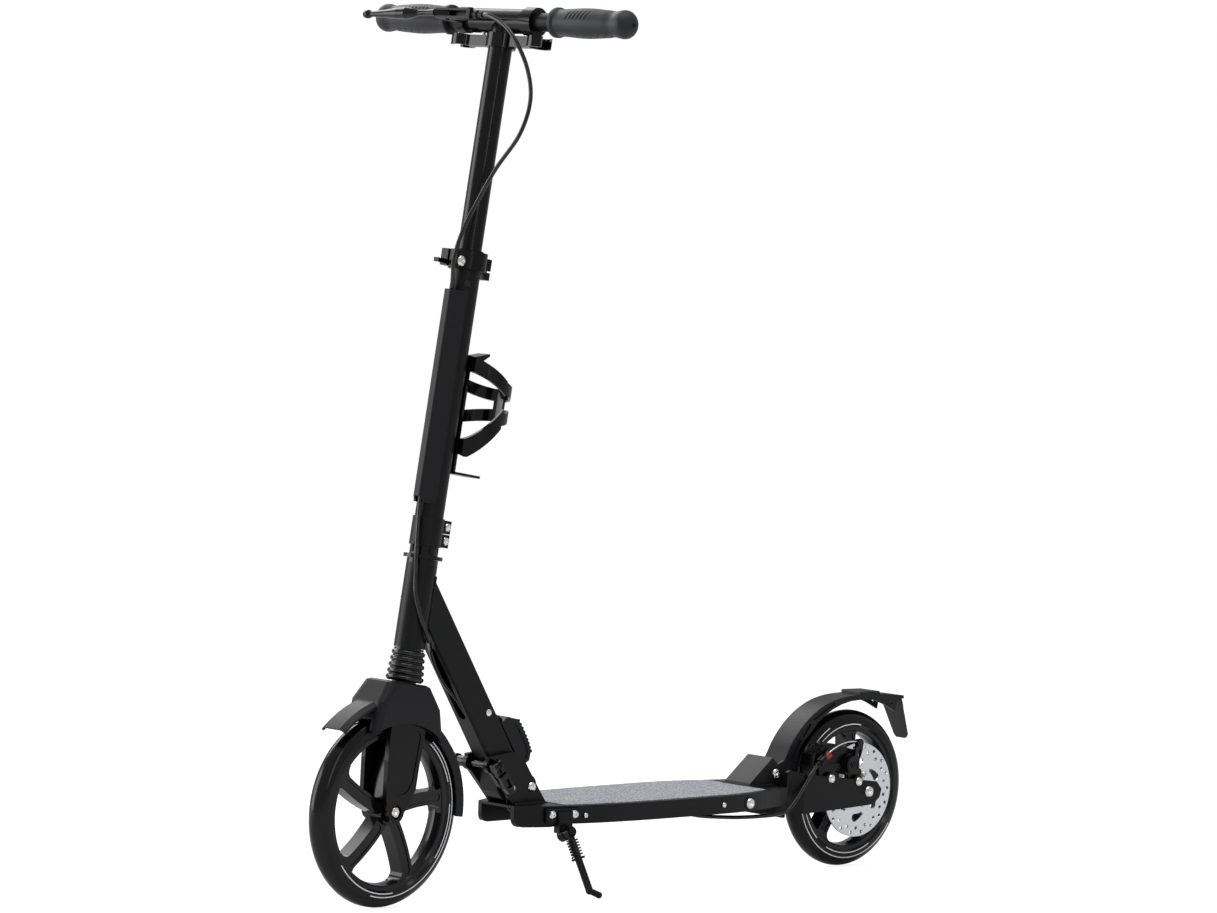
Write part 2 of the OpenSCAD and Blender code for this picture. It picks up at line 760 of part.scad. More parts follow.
module rear_bearings() {
  color(steel) at_rear_axle() {
    wheel_bearings(rear_hub_y);
    y_ring(0, 0, axle_r + 2.5, axle_r + run_gap, rear_hub_y, rotor_y - 8);
    y_ring(0, 0, bearing_d / 2 - 0.03, axle_r + run_gap, rotor_y - 8, rotor_y - rotor_t);
  }
}
// Drilled brake disc with curved windows and its six bolts
module brake_rotor() {
  color(steel) at_rear_axle() {
    difference() {
      y_rod(0, 0, rotor_r, rotor_y - rotor_t, rotor_y);
      y_rod(0, 0, 13, 0, 60);
      for (i = [0 : 5]) rotate([0, 60 * i, 0]) {
        y_rod(22, 0, 2.5, 0, 60);
        rotate([0, 25, 0]) for (t = [0 : 3])
          rotate([0, 7 * t, 0]) y_rod(36 - 1.2 * t, 0, 5.2 - 0.9 * t, 0, 60);
      }
      for (i = [0 : 17]) rotate([0, 20 * i, 0]) {
        y_rod(rotor_r - 5, 0, 2.2, 0, 60);
        rotate([0, 10, 0]) y_rod(rotor_r - 11, 0, 2.2, 0, 60);
      }
    }
    for (i = [0 : 5]) rotate([0, 60 * i, 0]) {
      y_rod(22, 0, 2.4, rotor_y - rotor_t - 7, rotor_y);
      screw_head(22, 0, rotor_y, 4.2);
    }
  }
}

// ---- Swing arm and calliper -----------------------------------------------------

axle_end = [rear_x - 9, rear_r - 1];
module arm_profile() {
  polygon([
    [pivot_x - 1, pivot_z - arm_hub_r + 0.1], [-172, deck_h - 26], [-200, deck_h - 30], [-240, deck_h - 34], [-277, deck_h - 35],
    [-330, deck_h - 33], [rear_x - 10, rear_r - 17], [rear_x - 21, rear_r - 8],
    [rear_x - 24, rear_r + 2], [rear_x - 15, rear_r + 12], [-320, deck_h + 9],
    [-274, deck_h + 14.5], [-262, deck_h + 18], [-252, deck_h + 20], [-247, deck_h + 18],
    [-246, deck_h - 2], [-238, deck_h - 9], [-172, deck_h - 6], [pivot_x - 1, pivot_z + arm_hub_r - 0.5]
  ]);
}
module arm_plan() {
  polygon([
    [-140, arm_front_in], [jog_x, arm_front_in], [jog_end_x, arm_rear_in],
    [rear_x - 40, arm_rear_in], [rear_x - 40, arm_rear_y], [jog_end_x, arm_rear_y],
    [jog_x, arm_front_y], [-140, arm_front_y]
  ]);
}
calliper_bolt_spots = [[-319, deck_h + 7], [-369, deck_h + 0.7]];
module swing_arm() {
  color(black) standing() difference() {
    union() {
      both_sides() intersection() {
        translate([0, 80, 0]) rotate([90, 0, 0]) linear_extrude(80) arm_profile();
        linear_extrude(200) arm_plan();
      }
      both_sides() y_rod(pivot_x, pivot_z, arm_hub_r, rail_y + side_gap, arm_front_y);
      // Cross plate that pulls the suspension rod
      translate([-250, -arm_front_in, deck_h - 40]) cube([5, 2 * arm_front_in, 31]);
      both_sides() y_rod(rear_x, rear_r, 12, arm_rear_in, arm_rear_y);
      // Tabs that carry the calliper's bolts
      for (b = calliper_bolt_spots) y_rod(b[0], b[1], 8, arm_rear_in, arm_rear_y);
    }
    y_rod(pivot_x, pivot_z, axle_r + run_gap, -80, 80);
    y_rod(rear_x, rear_r, axle_r + run_gap, -80, 80);
    for (b = calliper_bolt_spots) y_rod(b[0], b[1], 3.05, 0, 80);
    translate([-252, 0, shock_z]) rotate([0, 90, 0]) cylinder(r = 4, h = 10);
  }
}
module rear_axle() {
  spacer_in = rotor_y - rotor_t + 0.3;
  color(steel) standing() {
    y_rod(rear_x, rear_r, axle_r, -arm_rear_y - 3, arm_rear_y);
    screw_head(rear_x, rear_r, arm_rear_y, 7);
    nut(rear_x, rear_r, -arm_rear_y - 6, 7.4, 6);
    y_ring(rear_x, rear_r, axle_r + 2.5, axle_r, spacer_in, arm_rear_in);
    y_ring(rear_x, rear_r, axle_r + 2.5, axle_r, -arm_rear_in, -rear_hub_y - 0.3);
  }
}
module shock_rod() {
  color(steel) standing() translate([0, 0, shock_z]) rotate([0, 90, 0]) {
    translate([0, 0, -256]) cylinder(r = 7, h = 6, $fn = 6);
    translate([0, 0, -250]) cylinder(r = 4, h = 119);
    translate([0, 0, shock_front_x]) cylinder(r = shock_d / 2, h = 2.5);
    translate([0, 0, shock_front_x + 2.5]) cylinder(r = 7, h = 5, $fn = 6);
  }
}
module shock_spring() {
  front = shock_front_x - 0.2;
  rear = rail_tail_x + 9.2;
  color(steel) standing() translate([rear, 0, shock_z]) rotate([0, 90, 0])
    coil(shock_d / 2 - shock_wire / 2, shock_wire, front - rear, 8);
}
calliper_y0 = 17;
module calliper_body() {
  outline = [
    [-298, deck_h + 11], [-293, deck_h + 24], [-296, deck_h + 38], [-312, deck_h + 49],
    [-330, deck_h + 50], [-344, deck_h + 46], [-370, deck_h + 40], [-377, deck_h + 22],
    [-375, deck_h + 14], [-352, deck_h + 11], [-330, deck_h + 17], [-312, deck_h + 14]
  ];
  ear = [
    [-309, deck_h + 1], [-329, deck_h + 1], [-333, deck_h + 20], [-352, deck_h + 14],
    [-362, deck_h - 7], [-378, deck_h - 6], [-379, deck_h + 14], [-366, deck_h + 24],
    [-300, deck_h + 26], [-302, deck_h + 10]
  ];
  color(black) standing() difference() {
    union() {
      side_plate(outline, calliper_y0, 40);
      side_plate(ear, 35.5, arm_rear_in);
      y_rod(boss_x, boss_z, 14, 30, 44);
      y_rod(-318, deck_h + 38, 7, 38, 42);
      // Barrel that takes the cable's casing
      translate([-306, 47, deck_h + 33.5]) rotate([0, 122, 0]) {
        cylinder(r = 4.6, h = 9);
        translate([0, 0, 9]) cylinder(r = 3.4, h = 6);
      }
      translate([-312, 38, deck_h + 25]) cube([10, 11, 14]);
      y_rod(boss_x, boss_z, 4, 40, 52);
    }
    // Slot for the brake disc
    y_rod(rear_x, rear_r, rotor_r + 2, rotor_y - rotor_t - 1, rotor_y + 1);
    // Room for the tyre and the hub
    y_rod(rear_x, rear_r, rear_r + 4, 0, tyre_w / 2 + 2);
    translate([-306, 47, deck_h + 33.5]) rotate([0, 122, 0]) cylinder(r = 1.6, h = 40, center = true);
    for (b = calliper_bolt_spots) y_rod(b[0], b[1], 3.05, 0, 80);
  }
}
module calliper_bolts() {
  color(steel) standing() for (b = calliper_bolt_spots) {
    y_rod(b[0], b[1], 3, 34, arm_rear_y);
    screw_head(b[0], b[1], arm_rear_y, 5.5);
  }
}
module calliper_arm() {
  color(black) standing() difference() {
    union() {
      y_rod(boss_x, boss_z, 11, 44 + side_gap, 50);
      side_plate([
        [boss_x - 10, boss_z - 4], [boss_x - 19, boss_z + 22], [boss_x - 16, boss_z + 32],
        [boss_x - 8, boss_z + 32], [boss_x - 4, boss_z + 10]
      ], 44 + side_gap, 48);
      y_rod(boss_x - 11, boss_z + 27, 5, 44 + side_gap, 51);
    }
    y_rod(boss_x, boss_z, 4 + run_gap, 30, 60);
    side_plate([
      [boss_x - 13.5, boss_z + 8], [boss_x - 15.5, boss_z + 18],
      [boss_x - 12, boss_z + 19], [boss_x - 9.5, boss_z + 10]
    ], 40, 60);
  }
}

// ---- Rear fender ----------------------------------------------------------------

// The fender's outside, which runs between the bracket's cheeks
fender_out_y = fender_y - cheek_t - side_gap;
// Crest of the fender from its front foot to its tail
fender_crest = route([
  [-261, deck_h + 26], [-267.5, deck_h + 36.5], [-276, deck_h + 51], [-290, deck_h + 67.5],
  [-309, deck_h + 83.5], [-332, deck_h + 96], [-356, deck_h + 103.2], [-385, deck_h + 106.6],
  [-436, deck_h + 106.8], [-478, deck_h + 103]
], 4);
// Lower edge of the fender's side walls, from the tail to the foot
fender_hem = [
  [-478, deck_h + 99], [-466, deck_h + 98], [-463, deck_h + 83], [-443, deck_h + 92.5],
  [-422, deck_h + 99.5], [-397, deck_h + 100.5], [-380, deck_h + 99.5],
  [-363.5, deck_h + 96], [-348, deck_h + 90.5], [-333.5, deck_h + 83],
  [-321, deck_h + 74.5], [-311, deck_h + 64], [-300, deck_h + 54], [-290, deck_h + 42],
  [-288, deck_h + 15], [-266, deck_h + 17]
];
fender_liner = concat(
  [for (i = [0 : len(fender_crest) - 2]) let (t = unit(fender_crest[i + 1] - fender_crest[i]))
    fender_crest[i] + fender_t * [-t[1], t[0]]],
  [[-476, deck_h + 100], [-476, deck_h + 60], [-263, deck_h - 20]]
);
fender_windows = [
  [[-266, 30], [-270, 36], [-284.5, 56], [-293, 53], [-284.5, 42], [-280, 31]],
  [[-287.5, 60], [-297.5, 57], [-310.5, 73.5], [-305, 75]],
  [[-309, 78.5], [-317, 78.5], [-338, 90], [-352, 96.5], [-351, 98.5], [-346, 98.5], [-328, 91]]
];
module rear_fender() {
  ear = [
    [fender_pivot_x - 2, fender_pivot_z - 8.5], [fender_pivot_x + 6, fender_pivot_z + 6],
    [-256, deck_h + 26.5], [-264, deck_h + 30], [-280, deck_h + 30], [-280, deck_h + 10]
  ];
  color(black) standing() difference() {
    union() {
      difference() {
        side_plate(concat(fender_crest, fender_hem), -fender_out_y, fender_out_y);
        side_plate(fender_liner, fender_t - fender_out_y, fender_out_y - fender_t);
      }
      both_sides() {
        side_plate(ear, fender_out_y - fender_t - 1, fender_out_y);
        y_rod(fender_pivot_x, fender_pivot_z, 8.5, fender_out_y - fender_t - 1, fender_out_y);
      }
    }
    // Windows between the ribs of the side walls
    both_sides() for (w = fender_windows)
      side_plate([for (p = w) [p[0], deck_h + p[1]]], fender_out_y - 1.8, fender_w);
    y_rod(fender_pivot_x, fender_pivot_z, axle_r + run_gap, -80, 80);
    both_sides() y_rod(-455, deck_h + 95, 2.5, fender_out_y - 5, fender_out_y + 5);
  }
}
module step_pad() {
  color(black) standing() difference() {
    side_plate([
      [-397, deck_h + 104], [-397, deck_h + 110.4], [-399, deck_h + 111.2],
      [-432, deck_h + 110.6], [-434, deck_h + 109.6], [-434, deck_h + 104]
    ], -16.5, 16.5);
    side_plate(concat(fender_crest, [[-478, deck_h + 90], [-300, deck_h + 60]]), -20, 20);
    for (i = [0 : 3])
      translate([-428 + 8 * i, -13, deck_h + 109.2]) cube([3, 26, 4]);
  }
}
module mud_flap() {
  color(rubber_grey) standing() translate([flap_x, 0, deck_h + 99]) rotate([0, flap_tilt, 0])
    rotate([90, 0, 90]) translate([0, 0, -flap_t]) linear_extrude(4) polygon([
      [-17, -3.7], [-17, -11], [-15.5, -18], [-11, 4 - flap_len], [-8, -flap_len],
      [8, -flap_len], [11, 4 - flap_len], [15.5, -18], [17, -11], [17, -3.7]
    ]);
}
module fender_spring() {
  r = axle_r + 1.05;
  color(steel) standing() translate([fender_pivot_x, 12.6, fender_pivot_z])
    rotate([90, 0, 0]) coil(r, 2, 25.2, 9);
}

// ---- Frame and headset ------------------------------------------------------------

// The down tube's own frame: local Z runs up the tube, local X points to its front face
module on_down_tube() {
  translate([tube_foot_x, 0, tube_foot_z]) rotate([0, 90 - down_angle, 0]) children();
}
module front_frame() {
  slot_low = 80;
  slot_high = 172;
  color(black) difference() {
    union() {
      standing() {
        on_down_tube() translate([0, 0, -8]) linear_extrude(down_len + 8)
          round_rect(down_h, down_w, 4);
        // Solid lug between the bracket's plates
        side_plate([
          [fold_x - 4, fold_z - lug_r + 0.6], [lock_x + 3, lock_z - 13.8],
          [220, deck_h + 15], [226.5, deck_h + 41.7], [235, deck_h + 56], [225, deck_h + 62],
          [196, deck_h + 62], [184.5, deck_h + 46.3], [fold_x - 10.5, fold_z + 10]
        ], -down_w / 2, down_w / 2);
        y_rod(fold_x, fold_z, lug_r, -down_w / 2, down_w / 2);
        y_rod(lock_x, lock_z, 14, -down_w / 2, down_w / 2);
        y_rod(rivet_x, rivet_z, 4, -down_w / 2 - 0.8, down_w / 2 + 0.8);
      }
      on_head() translate([0, 0, head_s]) cylinder(r = head_r, h = head_len);
    }
    standing() {
      on_down_tube() difference() {
        translate([0, 0, 6]) linear_extrude(down_len)
          round_rect(down_h - 2 * tube_wall, down_w - 2 * tube_wall, 2);
        rotate([0, down_angle - 90, 0])
          y_rod(rivet_x - tube_foot_x, rivet_z - tube_foot_z, 4, -50, 50);
      }
      // Channel for the cable through the lug
      bar_between([222, 0, deck_h + 70], [189, 0, deck_h + 17], cable_d / 2 + 1.7);
      bar_between([189, 0, deck_h + 20], [189, 0, deck_h - 2], cable_d / 2 + 1.7);
      y_rod(fold_x, fold_z, fold_bolt_d / 2 + run_gap, -50, 50);
      // Hook-shaped notch that swings off the lock bolt
      y_rod(lock_x, lock_z, notch_r, -50, 50);
      translate([fold_x, 0, fold_z]) rotate([90, 0, 0])
        rotate([0, 0, atan2(lock_z - fold_z, lock_x - fold_x) - 62]) rotate_extrude(angle = 62)
          translate([norm([lock_x - fold_x, lock_z - fold_z]) - notch_r, -50])
            square([2 * notch_r, 100]);
      on_down_tube() {
        // Long slot in the front face for the cable
        translate([down_h / 2 - 4, 0, slot_low]) {
          rotate([0, 90, 0]) cylinder(r = 6.5, h = 12);
          translate([0, -6.5, 0]) cube([12, 13, slot_high - slot_low]);
        }
        translate([down_h / 2 - 4, 0, slot_high]) rotate([0, 90, 0]) cylinder(r = 6.5, h = 12);
        // Window in the rear face for the release pedal
        translate([-down_h / 2 - 4, -7, 17]) cube([8, 14, 59]);
      }
    }
    on_head() translate([0, 0, head_s - 1]) cylinder(r = head_r - tube_wall, h = head_len + 2);
  }
}
module headset() {
  bore = steerer_r + run_gap;
  color(black) on_head() {
    z_ring(head_r - tube_wall - 0.02, bore, head_s, head_s + 12);
    z_ring(head_r - tube_wall - 0.02, bore, head_top_s - 12, head_top_s);
    z_ring(head_r, bore, head_top_s, head_top_s + headset_h - side_gap);
  }
}

// ---- Stem -------------------------------------------------------------------------

steerer_foot_s = crown_top_s - 4;
module steerer() {
  color(steel) on_stem() {
    translate([0, 0, steerer_foot_s])
      cylinder(r = steerer_r, h = stem_s + clamp_h + 4 - steerer_foot_s);
    // Crown race under the head tube
    z_ring(head_r - 1, steerer_r, head_s - 3, head_s - side_gap);
    z_ring(head_r + 4.7, steerer_r, washer_s, washer_s + washer_t);
    // Castellated lock nut
    difference() {
      z_ring(stem_r, steerer_r, nut_s, nut_s + nut_h);
      for (a = [0 : 60 : 300]) rotate([0, 0, a])
        translate([stem_r - 1.6, -3, nut_s + 2]) cube([4, 6, nut_h]);
    }
  }
}
ear_bolt_s = [stem_s + 9, stem_s + 25.5];
module stem_tube() {
  color(black) on_stem() difference() {
    union() {
      translate([0, 0, stem_s]) cylinder(r = clamp_r, h = clamp_h);
      translate([0, 0, stem_s]) cylinder(r = stem_r, h = stem_len);
      for (b = ear_bolt_s) translate([-30, -9, b - 7.8]) cube([14, 18, 15.6]);
    }
    translate([0, 0, stem_s - 1]) cylinder(r = steerer_r + run_gap, h = stem_len + 2);
    // The clamp's split and the collar's split
    translate([-40, -1, stem_s - 1]) cube([30, 2, clamp_h + 6]);
    translate([-stem_r - 2, -1.2, stem_top_s - 46]) cube([8, 2.4, 60]);
    // Drilling between the two ears
    for (b = ear_bolt_s) translate([-24, 20, b]) rotate([90, 0, 0]) cylinder(r = 3.02, h = 40);
    // Hole for the height button
    translate([0, 0, button_s]) rotate([0, 90, 54]) cylinder(r = 4.05, h = 30);
  }
}
module stem_bolts() {
  color(steel) on_stem() {
    for (b = ear_bolt_s) translate([-24, 0, b]) {
      translate([0, 10.5, 0]) rotate([90, 0, 0]) cylinder(r = 3, h = 21);
      screw_head(0, 0, 9, 5);
      translate([0, -9, 0]) rotate([90, 0, 0]) cylinder(r = 5, h = 4, $fn = 6);
    }
    // Collar bolt
    translate([collar_bolt_x, 0, collar_s + collar_h / 2 - 3]) {
      translate([0, 13, 0]) rotate([90, 0, 0]) cylinder(r = 3, h = 26);
      screw_head(0, 0, 13, 6.5);
      translate([0, -13, 0]) rotate([90, 0, 0]) cylinder(r = 6, h = 4, $fn = 6);
    }
  }
}
module cover_section(shrink) {
  r = stem_r + 1.2 - shrink;
  nose = [22, 3];
  nose_r = 4.5 - shrink;
  a = atan2(nose[1], nose[0]) + acos((r - nose_r) / norm(nose));
  circle(r);
  for (m = [0, 1]) mirror([0, m]) {
    translate(nose) circle(nose_r);
    polygon([
      [0, 0], r * [cos(a), sin(a)], nose + nose_r * [cos(a), sin(a)], nose + [nose_r, 0],
      [nose[0] + nose_r, 0]
    ]);
  }
}
module cable_cover() {
  color(black) on_stem() translate([0, 0, cover_s]) difference() {
    linear_extrude(cable_cover_len) difference() {
      intersection() {
        cover_section(0);
        translate([8, -30]) square([60, 60]);
      }
      circle(stem_r + 0.02);
      translate([0, -5]) square([24.8, 10]);
    }
    // The nose is cut back in a curve at its lower end
    translate([30, 20, -1]) rotate([90, 0, 0]) cylinder(r = 9, h = 40);
  }
}
collar_bolt_x = 25;
module height_collar() {
  color(black) on_stem() difference() {
    union() {
      z_ring(stem_r + 5.5, stem_r + 0.02, collar_s, collar_s + collar_h);
      for (m = [0, 1]) mirror([0, m, 0])
        translate([stem_r + 1, 2, collar_s + 1]) cube([15, 11, collar_h - 2]);
      // Hook on the front of one ear
      difference() {
        translate([stem_r + 14, -10, collar_s + 3]) cube([16, 8, 5]);
        translate([stem_r + 23, -7, collar_s + 2]) cylinder(r = 3, h = 10);
        translate([stem_r + 22, -11, collar_s + 2]) cube([4, 5, 10]);
      }
      // Block behind, which the lever closes on
      for (m = [0, 1]) mirror([0, m, 0])
        translate([-stem_r - 15, 3.2, collar_s + 4]) cube([12, 5, 14]);
    }
    // Split in front
    translate([stem_r - 3, -2, collar_s - 1]) cube([30, 4, collar_h + 2]);
    translate([collar_bolt_x, 40, collar_s + collar_h / 2 - 3]) rotate([90, 0, 0])
      cylinder(r = 3.02, h = 80);
    translate([-stem_r - 11, 40, collar_s + 11]) rotate([90, 0, 0]) cylinder(r = 2.05, h = 80);
  }
}
module collar_lever() {
  color(gloss_black) on_stem() {
    translate([-stem_r - 11, 9, collar_s + 11]) rotate([90, 0, 0]) cylinder(r = 2, h = 18);
    translate([-stem_r - 11, 2.8, collar_s + 11]) rotate([90, 0, 0]) cylinder(r = 4.5, h = 5.6);
    translate([-stem_r - 14.5, -2.8, collar_s - 3]) cube([5, 5.6, 14]);
    translate([-stem_r - 16, -7, collar_s - 7]) cube([7, 14, 9]);
  }
}
module height_button() {
  color(steel) on_stem() translate([0, 0, button_s]) rotate([0, 90, 54])
    translate([0, 0, steerer_r + 0.1]) cylinder(r = 4, h = stem_r - steerer_r + 2.9);
}
module cage_slab(s, tilt, h) {
  translate([-61, 0, s]) rotate([0, tilt, 0]) translate([-60, -60, -h / 2]) cube([120, 120, h]);
}
cage_x = -stem_r - 4 - cage_d / 2 - 2.5;
cage_mid_s = cover_s + 136;
module bottle_cage() {
  wall = 3;
  ring_r = cage_d / 2 + wall;
  color(gloss_black) on_stem() {
    // Spine against the stem, with its foot and its top hook
    translate([-stem_r - 7, -8, cage_mid_s - 94]) cube([3.6, 16, 138]);
    translate([-stem_r - 46, -12, cage_mid_s - 97]) cube([42.6, 24, 3]);
    rotate([90, 0, 0]) linear_extrude(20, center = true) polygon([
      [-stem_r - 4, cage_mid_s + 44], [-stem_r - 9, cage_mid_s + 44],
      [-stem_r - 34, cage_mid_s + 51], [-stem_r - 34, cage_mid_s + 48],
      [-stem_r - 17, cage_mid_s + 36], [-stem_r - 4, cage_mid_s + 30]
    ]);
    for (m = [0, 1]) mirror([0, m, 0])
      translate([-stem_r - 4.2, 0, 0]) for (s = [-60, 10])
        translate([0, -3, cage_mid_s + s]) cube([4.1, 3, 8]);
    intersection() {
      translate([cage_x, 0, cage_mid_s - 110]) difference() {
        cylinder(r = ring_r, h = 200);
        translate([0, 0, -1]) cylinder(r = ring_r - wall, h = 202);
      }
      union() {
        intersection() {
          cage_slab(cage_mid_s + 13, -30, 15);
          translate([-62, -60, cage_mid_s - 110]) cube([60, 120, 200]);
        }
        intersection() {
          cage_slab(cage_mid_s + 13, -14, 14);
          translate([-122, -60, cage_mid_s - 110]) cube([61, 120, 200]);
        }
        intersection() {
          cage_slab(cage_mid_s - 25, 48, 16);
          translate([-62, -60, cage_mid_s - 110]) cube([60, 120, 200]);
        }
        intersection() {
          cage_slab(cage_mid_s - 25, 14, 14);
          translate([-122, -60, cage_mid_s - 110]) cube([61, 120, 200]);
        }
        // Bridge at the back, where the arms meet
        translate([-122, -8, cage_mid_s - 22]) cube([40, 16, 30]);
      }
    }
  }
}
module fork_bellows() {
  low = boss_top_s + 1;
  high = head_s - 3.3;
  color(gloss_black) on_stem() difference() {
    union() {
      translate([0, 0, low]) cylinder(r1 = 20.5, r2 = 17.5, h = high - low);
      for (i = [0 : 4])
        translate([0, 0, low + 3.8 + i * (high - low - 7) / 4])
          rotate_extrude() translate([19.6 - 0.7 * i, 0]) circle(3.2);
    }
    translate([0, 0, low - 1]) cylinder(r = 16.4, h = high - low + 2);
  }
}

// ---- Fork and front wheel ------------------------------------------------------------

leg_in = 16.2;
leg_out = leg_in + leg_t;
module leg_outline() {
  x = fork_offset;
  s = axle_s;
  translate([x, s]) circle(13);
  polygon([
    [x - 13, s], [x - 20, s + 14], [x - 27, s + 30], [x - 27, s + 56], [x - 29, crown_s],
    [x + 28, crown_s], [x + 28.5, s + 94], [x + 26.3, s + 59], [x + 19.6, s + 13], [x + 13, s]
  ]);
}
module leg_panel() {
  translate([fork_offset, axle_s]) polygon([
    [-8, 22], [-15, 27], [-20, 38], [-21, 56], [-22.5, 90], [-20.5, 95], [-15, 98], [15, 98],
    [20.5, 95.5], [22.8, 90], [20.5, 59], [15, 28], [9, 21.5], [0, 19.5]
  ]);
}
module fork() {
  color(black) on_stem() difference() {
    union() {
      for (m = [0, 1]) mirror([0, m, 0]) {
        translate([0, leg_out, 0]) rotate([90, 0, 0]) linear_extrude(leg_t) leg_outline();
      }
      translate([0, 0, crown_s]) linear_extrude(crown_h) round_rect(52, 2 * leg_out, 8);
      translate([0, 0, crown_top_s]) cylinder(r = boss_r, h = boss_top_s - crown_top_s);
    }
    for (m = [0, 1]) mirror([0, m, 0]) {
      translate([0, leg_out + 1, 0]) rotate([90, 0, 0]) linear_extrude(2) leg_panel();
      translate([fork_offset, leg_out + 1, axle_s]) rotate([90, 0, 0]) cylinder(r = 8.5, h = 4);
    }
    translate([fork_offset, 40, axle_s]) rotate([90, 0, 0])
      cylinder(r = axle_r + run_gap, h = 80);
    translate([0, 0, steerer_foot_s - fork_travel - 1])
      cylinder(r = steerer_r + run_gap, h = 80);
  }
}
module cover_arc(a0, a1, r_out, wall, half, depth) {
  translate([fork_offset, 0, axle_s]) rotate([90, 0, 0]) rotate([0, 0, a0])
    rotate_extrude(angle = a1 - a0, $fn = 120) difference() {
      polygon([
        [r_out - depth, -half], [r_out - 4, -half], [r_out, -half + 6], [r_out, half - 6],
        [r_out - 4, half], [r_out - depth, half]
      ]);
      polygon([
        [r_out - depth - 1, wall - half], [r_out - 4.8, wall - half],
        [r_out - wall, 6.6 - half], [r_out - wall, half - 6.6],
        [r_out - 4.8, half - wall], [r_out - depth - 1, half - wall]
      ]);
    }
}
module cover_slab(s, x0, x1, y, grow) {
  for (x = [x0 - grow + 9, x1 + grow - 9], m = [-1, 1])
    translate([x, m * (y + grow - 9), s]) cylinder(r = 9, h = 0.5, $fn = 24);
}
module cover_shell(grow) {
  hull() {
    cover_slab(axle_s + 80, -56, 60, 26, grow);
    cover_slab(crown_s + 5, -42, 56, 26, grow);
    cover_slab(boss_top_s - 9, -27, 44, 24.5, grow);
    cover_slab(boss_top_s - 4.5 + grow, -24, 42, 22, grow);
    cover_slab(boss_top_s - 2.5 + grow, -20, 38, 18, grow);
  }
}
module fork_cover() {
  tread = front_r + 6;
  color(black) on_stem() difference() {
    union() {
      difference() {
        cover_shell(2);
        cover_shell(0);
        translate([0, 0, crown_s - 60]) cylinder(r = boss_r, h = 120);
      }
      cover_arc(104, 178, tread, 2.2, 18.4, 24);
      cover_arc(40, 74, front_r + 21, 2.2, 19, 7);
    }
    // Round edge over the wheel, and room for the tyre and the legs
    translate([fork_offset, 60, axle_s]) rotate([90, 0, 0]) cylinder(r = front_r - 10, h = 120);
    translate([fork_offset, 16, axle_s]) rotate([90, 0, 0]) cylinder(r = front_r + 3, h = 32);
    for (m = [0, 1]) mirror([0, m, 0])
      translate([0, leg_out + 0.3, 0]) rotate([90, 0, 0]) linear_extrude(leg_t + 6)
        polygon([[-27, 0], [-27, crown_s + 1], [32, crown_s + 1], [32, 0]]);
    translate([fork_offset - 26.4, -leg_out - 0.3, crown_s - 1])
      cube([52.8 - fork_offset, 2 * leg_out + 0.6, 24]);
  }
}
module front_axle() {
  color(steel) on_stem() translate([fork_offset, 0, axle_s]) {
    y_rod(0, 0, axle_r, -leg_out + 3, leg_out - 3);
    for (m = [0, 1]) mirror([0, m, 0]) {
      screw_head(0, 0, leg_out - 3, 6.6);
      y_ring(0, 0, axle_r + 2.5, axle_r, front_hub_y + 0.3, leg_in);
    }
  }
}
module fork_spring() {
  low = boss_top_s + 0.2;
  color(steel) on_stem() translate([0, 0, low]) coil(15.6, 1.4, head_s - 3.2 - low, 6);
}
front_hub_y = 14;
module at_front_axle() {
  on_stem() translate([fork_offset, 0, axle_s]) children();
}
module front_tyre() {
  color(gloss_black) at_front_axle() tyre(front_r);
}
module front_rim() {
  color(black) at_front_axle() rim(front_r, 17, 9.5);
}
module front_bearings() {
  color(steel) at_front_axle() wheel_bearings(front_hub_y);
}

// ---- Handlebar -------------------------------------------------------------------------

tee_r = tee_d / 2;
tee_right = -46;
tee_left = 56;
grip_in_y = 85;
lever_clamp_y = 70.7;
grip_len = bar_w / 2 - grip_in_y;
upper_foot_s = stem_s + clamp_h + 8 + bar_travel;
tube_in_tee = 40;
clip_s = bar_s - 33;
module handlebar_tee() {
  color(black) on_stem() difference() {
    union() {
      translate([0, 0, upper_foot_s]) cylinder(r = steerer_r, h = bar_s - upper_foot_s);
      translate([0, 0, bar_s]) y_rod(0, 0, tee_r, tee_right, tee_left);
      translate([0, 0, bar_s]) y_ring(0, 0, tee_r + 2.4, tee_r - 1, tee_left - 17, tee_left);
    }
    translate([0, 0, bar_s]) y_rod(0, 0, grip_tube_d / 2 + run_gap, -100, 100);
    // Hollow upper tube
    translate([0, 0, upper_foot_s - 1])
      cylinder(r = steerer_r - tube_wall, h = bar_s - upper_foot_s - tee_r - 5);
    // Holes for the height button
    for (z = [button_s, button_s + 30]) translate([0, 0, z]) rotate([0, 90, 54])
      cylinder(r = 4.1, h = 30);
    // Holes for the grip buttons
    for (m = [-1, 1]) translate([0, m * 36 + 5, bar_s]) rotate([0, 180, 0])
      cylinder(r = 3.05, h = 30);
  }
}
module grip_clip() {
  color(black) on_stem() translate([0, 0, clip_s]) {
    difference() {
      union() {
        cylinder(r = steerer_r + 4, h = 17);
        translate([-6, -52, 2]) cube([12, 104, 13]);
        for (y = [-62, 62]) translate([0, y, 2]) cylinder(r = 15, h = 13);
      }
      translate([0, 0, -1]) cylinder(r = steerer_r + 0.02, h = 20);
      // Open rings that hold the pulled-off grips
      for (y = [-62, 62]) translate([0, y, -1]) cylinder(r = 11.6, h = 20);
      for (m = [0, 1]) mirror([0, m, 0]) translate([-8, 68, -1]) cube([16, 20, 20]);
    }
  }
}
